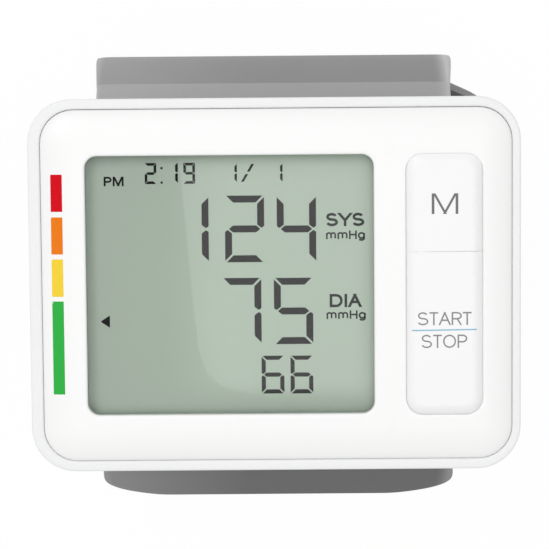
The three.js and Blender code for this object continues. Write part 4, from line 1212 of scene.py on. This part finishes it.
def base_path():
    """Outer face of the base: an arc from the tongue's fold, a flat, and an arc to the arm's fold."""
    half = base_flat / 2
    sweep = 2 * math.atan2(base_z - hinge_z, hinge_y - half)
    radius = (hinge_y - half) / math.sin(sweep)
    up = math.pi / 2
    return joined_path([
        ellipse_stretch((-half, base_z - radius), (radius, radius), up + sweep, up, 40),
        flat_stretch((-half, base_z), (half, base_z), (0, 1), 12),
        ellipse_stretch((half, base_z - radius), (radius, radius), up, up - sweep, 40),
    ])


tongue_run = np.array([math.cos(tongue_slope), math.sin(tongue_slope)])
tongue_normal = np.array([-tongue_run[1], tongue_run[0]])
tongue_fold = np.array([-hinge_y, hinge_z])


def arm_path():
    """Outer face of the arm: an ellipse down from its fold, a flat foot, an ellipse up to the tongue."""
    half = foot_length / 2
    reach = arm_high[1] - half
    rise = math.sqrt(1 - ((hinge_y - half) / reach) ** 2)
    middle = hinge_z / (1 + rise)
    end_z = middle * (1 + math.sin(arm_end_angle))
    inner_y, inner_z = tongue_fold - tongue_normal * band
    tongue_y = inner_y + (end_z - inner_z) * tongue_run[0] / tongue_run[1]
    tuck = (-tongue_y - tuck_gap / tongue_run[1] - half) / math.cos(arm_end_angle)
    down = -math.pi / 2
    return joined_path([
        ellipse_stretch((half, middle), (reach, middle), math.asin(rise), down, 90),
        flat_stretch((half, 0), (-half, 0), (0, -1), 16),
        ellipse_stretch((-half, middle), (tuck, middle), down, -math.pi - arm_end_angle, 90),
    ])


# Outer faces of the cuff's three parts, as places, normals and runs. The tongue's is a straight line
base_line = base_path()
arm_line = arm_path()
tongue_end = tongue_fold - tongue_run * tongue_length
tongue_line = joined_path([flat_stretch(tongue_fold, tongue_end, tongue_normal, 40)])
base_length = base_line[2][-1]
arm_length = arm_line[2][-1]


def along_line(line, runs):
    """Places and normals of a line at given runs."""
    place, normal, run = line
    both = [np.interp(runs, run, column) for column in (*place.T, *normal.T)]
    facing = np.column_stack(both[2:])
    return np.column_stack(both[:2]), facing / np.linalg.norm(facing, axis=1)[:, None]


def columns_of(*values):
    """Values for each station as columns."""
    return [np.asarray(value, float)[:, None] for value in values]


def cover_section(left, right, top, bottom, recess, rim=cover_rim):
    """Section of the cuff's cover at each station, as x and depth.

    The outer face, a little crowned towards its edges, a rounded edge, the rim, the recess that holds the
    lining, and back round the other edge.
    """
    left, right, top, bottom, recess = columns_of(left, right, top, bottom, recess)
    share = (1 - np.cos(np.linspace(0, math.pi, face_points)))[None, :] / 2
    turn = np.linspace(0, math.pi, edge_points)[None, :]
    bulge = cuff_edge * np.sin(turn) ** edge_power
    fall = (1 - np.sign(np.cos(turn)) * np.abs(np.cos(turn)) ** edge_power) / 2
    wide = right - left - 2 * cuff_edge
    from_edge = wide * np.minimum(share, 1 - share)
    crown = np.minimum(cloth_crown, (bottom - top) / 4)
    edge = top + crown
    depth = bottom - edge
    x = np.concatenate([
        left + cuff_edge + share * wide,
        right - cuff_edge + bulge,
        right - rim + 0 * share[:, :2],
        right - rim + share[:, 1:-1] * (left - right + 2 * rim),
        left + rim + 0 * share[:, :2],
        left + cuff_edge - bulge,
    ], axis=1)
    y = np.concatenate([
        top + crown * (1 - quarter_roll(from_edge, crown_reach)),
        edge + depth * fall,
        np.concatenate([bottom, recess], axis=1),
        recess + 0 * share[:, 1:-1],
        np.concatenate([recess, bottom], axis=1),
        bottom - depth * fall,
    ], axis=1)
    return x, y


def lining_section(left, right, top, bottom):
    """Flat strip with round edges, as x and depth for each station."""
    left, right, top, bottom = columns_of(left, right, top, bottom)
    left = left + lining_edge
    right = right - lining_edge
    share = np.linspace(0, 1, face_points)[None, :]
    turn = np.linspace(0, math.pi, 9)[None, :]
    bulge = lining_edge * np.sin(turn)
    fall = (bottom - top) * (1 - np.cos(turn)) / 2
    wide = share * (right - left)
    x = np.concatenate([right - wide, left - bulge, left + wide, right + bulge], axis=1)
    y = np.concatenate([top + 0 * share, top + fall, bottom + 0 * share, bottom - fall], axis=1)
    return x, y


def cloth(place, normal, x, depth, run):
    """Surface of a band: each station's section set across its place, with a weave map in millimetres."""
    flat = place[:, None] - normal[:, None] * depth[:, :, None]
    points = np.concatenate([x[:, :, None], flat], axis=2)
    step = np.linalg.norm(np.diff(points, axis=1), axis=2)
    across = np.concatenate([np.zeros((len(points), 1)), np.cumsum(step, axis=1)], axis=1)
    loop = across[:, -1:] + np.linalg.norm(points[:, :1] - points[:, -1:], axis=2)
    face_middle = across[:, face_points - 1 : face_points] / 2
    across = (across - face_middle + loop / 2) % loop - loop / 2
    weave = np.stack([np.broadcast_to(run[:, None], across.shape), across], -1)
    return points, weave.reshape(-1, 2)


def inner_faces(rows, columns):
    """1 for a sleeve's faces in the lining's finish: its ends, and between the middles of its edges."""
    column_of = np.tile(np.arange(columns), rows - 1)
    first = face_points + edge_points // 2
    last = columns - edge_points // 2 - 1
    return np.append((column_of >= first) & (column_of < last), [True, True]).astype(int)


def build_cloth(name, node, body, finishes, line, runs, section, weave_start=0.0):
    """A piece of cloth along a line, with a section at each run. A second finish is for its inner faces."""
    points, weave = cloth(*along_line(line, runs), *section, runs - weave_start)
    finish_of = inner_faces(*section[0].shape) if len(finishes) > 1 else None
    return make(name, lofted(points), finishes, body, node, weave, finish_of)


def base_thickness(place):
    """Full under the monitor, thinning to the band's at each fold line."""
    share = smoothstep(np.abs(place[:, 0]), base_flat / 2, hinge_y)
    return base_full + share * (band - base_full)


def build_base():
    """Base of the cuff: its light cover and the lining that lies in the cover's recess."""
    runs = np.linspace(fold_reach, base_length - fold_reach, 110)
    thick = base_thickness(along_line(base_line, runs)[0])
    level = np.ones(len(runs))
    left = (cuff_shift - half_cuff) * level
    right = (cuff_shift + half_cuff) * level
    section = cover_section(left, right, 0 * level, thick, cover_thickness * level)
    cover = build_cloth(
        "base_sleeve", "base_cover", "monitor", [light_fabric, lining_fabric],
        base_line, runs, section, base_length,
    )
    section = lining_section(left + lining_inset, right - lining_inset, thick - lining_thickness, thick)
    build_cloth(
        "base_lining_cloth", "base_lining", "monitor", [lining_fabric],
        base_line, runs, section,
    )


def corner_loss(left, along, across):
    """Width lost to a quarter ellipse at a corner, at a distance from the end."""
    inside = np.clip(1 - left / along, 0, 1)
    return across * (1 - np.sqrt(1 - inside**2))


def arm_edges(run):
    """Left and right edge of the arm: the right widens towards the foot, and both round off at the end."""
    share = run / arm_length
    rise = smoothstep(run, flare_start, flare_start + flare_rise)
    flare = arm_flare * rise * (1 - smoothstep(share, *flare_fade))
    corner = corner_loss(np.clip(arm_length - run, 0, None), arm_corner, arm_corner)
    half = half_cuff + arm_spread * np.clip(share / spread_share, 0, 1) - corner
    return cuff_shift - half, cuff_shift + half + flare


def tongue_edges(run):
    """Left and right edge of the tongue at a run from the fold line: a slow widening and round corners."""
    share = run / tongue_length
    rest = tongue_length - run
    left = corner_loss(rest, tongue_corner, tongue_corner_left) - tongue_spread_left * share
    right = corner_loss(rest, tongue_corner, tongue_corner_right) - tongue_spread_right * share
    return left - half_cuff, half_cuff - right


def limb_cover(length, edges, corner, steps, recess, rim):
    """Runs and sections of a limb's cover, from its fold strip to its end.

    Runs lie close together where the corners and the end round off. The top and bottom are drawn together
    at the end in a squarish round, and the recess closes shortly before it.
    """
    body = np.linspace(fold_reach, length - corner, steps)
    bend = length - corner * (1 - np.sin(quarter_turn(steps=24)))
    tip = length - end_round * (1 - np.sin(quarter_turn(steps=10)))
    runs = np.unique(np.round(np.concatenate([body, bend, tip]), 5))
    into_end = np.clip((runs - length + end_round) / end_round, 0, 1)
    half = band / 2 * np.clip(1 - into_end**end_power, 0, 1) ** (1 / end_power)
    top = band / 2 - half
    bottom = band / 2 + half
    closed = smoothstep(runs, length - recess_begin, length - recess_end)
    depth = np.clip(recess + closed * (band - recess), top, bottom)
    return runs, cover_section(*edges(runs), top, bottom, depth, rim)


def limb_strip(runs, edges, inset, thickness):
    """Sections of the strip that lies in a limb's recess."""
    left, right = edges(runs)
    thick = np.full(len(runs), band)
    return lining_section(left + inset, right - inset, thick - thickness, thick)


def build_arm():
    """Arm of the cuff: the grey cover round the wrist and its dark lining."""
    steps = 150
    runs, section = limb_cover(arm_length, arm_edges, arm_corner, steps, cover_thickness, cover_rim)
    cover = build_cloth(
        "arm_sleeve", "arm_cover", "cuff_arm", [grey_fabric, lining_fabric],
        arm_line, runs, section,
    )
    runs = runs[runs < arm_length - lining_end]
    section = limb_strip(runs, arm_edges, lining_inset, lining_thickness)
    build_cloth(
        "arm_lining_cloth", "arm_lining", "cuff_arm", [lining_fabric],
        arm_line, runs, section,
    )


def build_tongue():
    """Tongue of the cuff: the grey cover, painted darker as painted shade, and the hook tape on its inner face."""
    steps = 16
    recess = band - hook_thickness
    runs, section = limb_cover(tongue_length, tongue_edges, tongue_corner, steps, recess, hook_rim)
    cover = build_cloth(
        "tongue_sleeve", "tongue_cover", "cuff_tongue", [tongue_fabric, lining_fabric],
        tongue_line, runs, section,
    )
    runs = runs[runs < tongue_length - hook_end]
    section = limb_strip(runs, tongue_edges, hook_inset, hook_pad_thickness)
    build_cloth(
        "hook_pad", "hook_tape", "cuff_tongue", [hook_pile],
        tongue_line, runs, section,
    )


def build_fold(name, fold_run, back, line, edges, far_finish):
    """Strip of cloth across a fold line: the base's outer face up to the line, then the moving part's.

    Its depth is taken along a direction that turns steadily from one face's normal to the other's. The line
    is at a run of the base, and back says which way the base's runs lead away from it.
    """
    steps = fold_reach * fold_shares
    near_place, near_normal = along_line(base_line, fold_run + back * steps)
    far_place, far_normal = along_line(line, steps[::-1])
    place = np.concatenate([near_place, far_place])
    runs = np.concatenate([-steps, steps[::-1]])
    share = ((runs + fold_reach) / (2 * fold_reach))[:, None]
    normal = near_normal[0] + share * (far_normal[-1] - near_normal[0])
    normal /= np.linalg.norm(normal, axis=1)[:, None]
    thick = np.concatenate([base_thickness(near_place), np.full(len(steps), band)])
    section = cover_section(*edges(np.maximum(runs, 0)), 0 * runs, thick, thick)
    points, weave = cloth(place, normal, *section, runs)
    rows, columns, _ = points.shape
    beyond = np.append(np.repeat(np.arange(rows - 1), columns) >= len(steps), [False, True])
    finish_of = np.where(inner_faces(rows, columns), 2, beyond)
    finishes = [light_fabric, far_finish, lining_fabric]
    strip = make(name, lofted(points), finishes, weave=weave, finish_of=finish_of)
    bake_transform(strip)


def build_folds():
    """The two folds: base to arm at the top edge and base to tongue at the bottom edge."""
    build_fold("arm_fold_cloth", base_length, -1, arm_line, arm_edges, grey_fabric)
    build_fold("tongue_fold_cloth", 0.0, 1, tongue_line, tongue_edges, tongue_fabric)


def set_camera():
    """Camera before the display, a little above it, turned and rolled as in the photograph."""
    back = Vector((
        math.sin(camera_turn) * math.cos(camera_rise),
        math.sin(camera_rise),
        math.cos(camera_turn) * math.cos(camera_rise),
    ))
    right = Vector((0, 1, 0)).cross(back).normalized()
    up = back.cross(right)
    across = right * math.cos(camera_roll) + up * math.sin(camera_roll)
    upward = up * math.cos(camera_roll) - right * math.sin(camera_roll)
    data = bpy.data.cameras.new("camera")
    data.sensor_width = 36
    data.lens = camera_lens
    data.clip_start = 0.01
    camera = bpy.data.objects.new("camera", data)
    camera.matrix_world = Matrix((across, upward, back)).transposed().to_4x4()
    slide = across * camera_slide[0] + upward * camera_slide[1]
    camera.location = camera_target + back * camera_distance + slide
    bpy.context.scene.collection.objects.link(camera)
    bpy.context.scene.camera = camera
    bpy.context.view_layer.update()


def set_stage():
    """White floor that keeps a faint shadow, and a white world that lights the part softly."""
    corners = floor_reach * np.array([(-1, -1), (1, -1), (1, 1), (-1, 1)])
    paper = lit_paper("floor_paper", (0.9, 0.9, 0.9))
    floor = add_piece("floor", at_height(corners, -floor_drop), [[0, 1, 2, 3]], paper)

    world = bpy.data.worlds.new("studio")
    world.use_nodes = True
    world.node_tree.nodes.clear()
    tree = Shade(world.node_tree)
    level = seen(tree) * (1 - sky_level) + sky_level
    sky = tree.node("Background", {"Color": white, "Strength": level})
    tree.node("OutputWorld", {"Surface": sky})
    bpy.context.scene.world = world


def set_lights():
    """Two broad soft lamps that face the part: one straight before the display and one from above it."""
    lamps = {"front": ((0, 0, 2.0), 6.6), "above": ((-0.65, 0.75, 1.75), 8.8)}
    for name, (place, power) in lamps.items():
        data = bpy.data.lights.new(name, "AREA")
        data.shape = "RECTANGLE"
        data.size = lamp_size
        data.size_y = lamp_size
        data.energy = power
        lamp = bpy.data.objects.new(name, data)
        lamp.location = place
        lamp.rotation_mode = "QUATERNION"
        lamp.rotation_quaternion = (lamp_aim - Vector(place)).to_track_quat("-Z", "Y")
        bpy.context.scene.collection.objects.link(lamp)


def set_cards():
    """Two cards before the display that only its window mirrors: one bright, one dark with a bright border.

    Their common edge is the window's glare line, carried up the mirrored sight lines to the cards' height.
    """
    camera = np.array(bpy.context.scene.camera.location) / MM
    pane_z = pane_high[2]
    stretch = card_height / (camera[2] - pane_z)
    left, right = window_left - card_margin, window_right + card_margin
    low, high = window_low - card_margin, window_high + card_margin
    glare_top = (glare_line[0, 0], high)
    glare_right = (right, glare_line[-1, 1])
    bright_corners = [glare_right, (right, high), glare_top]
    dark_corners = [glare_top, (left, high), (left, low), (right, low), glare_right]
    bright_fades = [(0, fade_right), (1, fade_top), (1, fade_low)]
    dark_fades = [(0, (window_left + border_width, window_left))]
    cards = {
        "bright_card": (glare_line, bright_corners, bright_level, bright_fades),
        "dark_card": (glare_line[::-1], dark_corners, border_level, dark_fades),
    }

    def mirrored(place, axis):
        """Coordinates on a card, in metres, of what the window mirrors at its own coordinates."""
        return (np.asarray(place) * (1 + stretch) - camera[axis] * stretch) * MM

    for name, (line, corners, level, fades) in cards.items():
        outline = np.concatenate([line, corners])
        flat = np.column_stack([mirrored(outline[:, axis], axis) for axis in (0, 1)])
        points = at_height(flat, (pane_z + card_height) * MM)
        glow = card_glow(name, level, [(axis, mirrored(ends, axis)) for axis, ends in fades])
        card = add_piece(name, points, [list(range(len(points)))], glow)
        card.visible_camera = False
        card.visible_shadow = False
        card.visible_diffuse = False


set_camera()
set_stage()
set_lights()
set_cards()
dress_inner_parts()
build_housing()
build_battery_tray()
build_battery_door()
build_panel()
build_window()
build_display()
build_caps()
build_figures()
build_prints()
build_base()
build_arm()
build_tongue()
build_folds()

bpy.context.scene.view_settings.view_transform = "Standard"
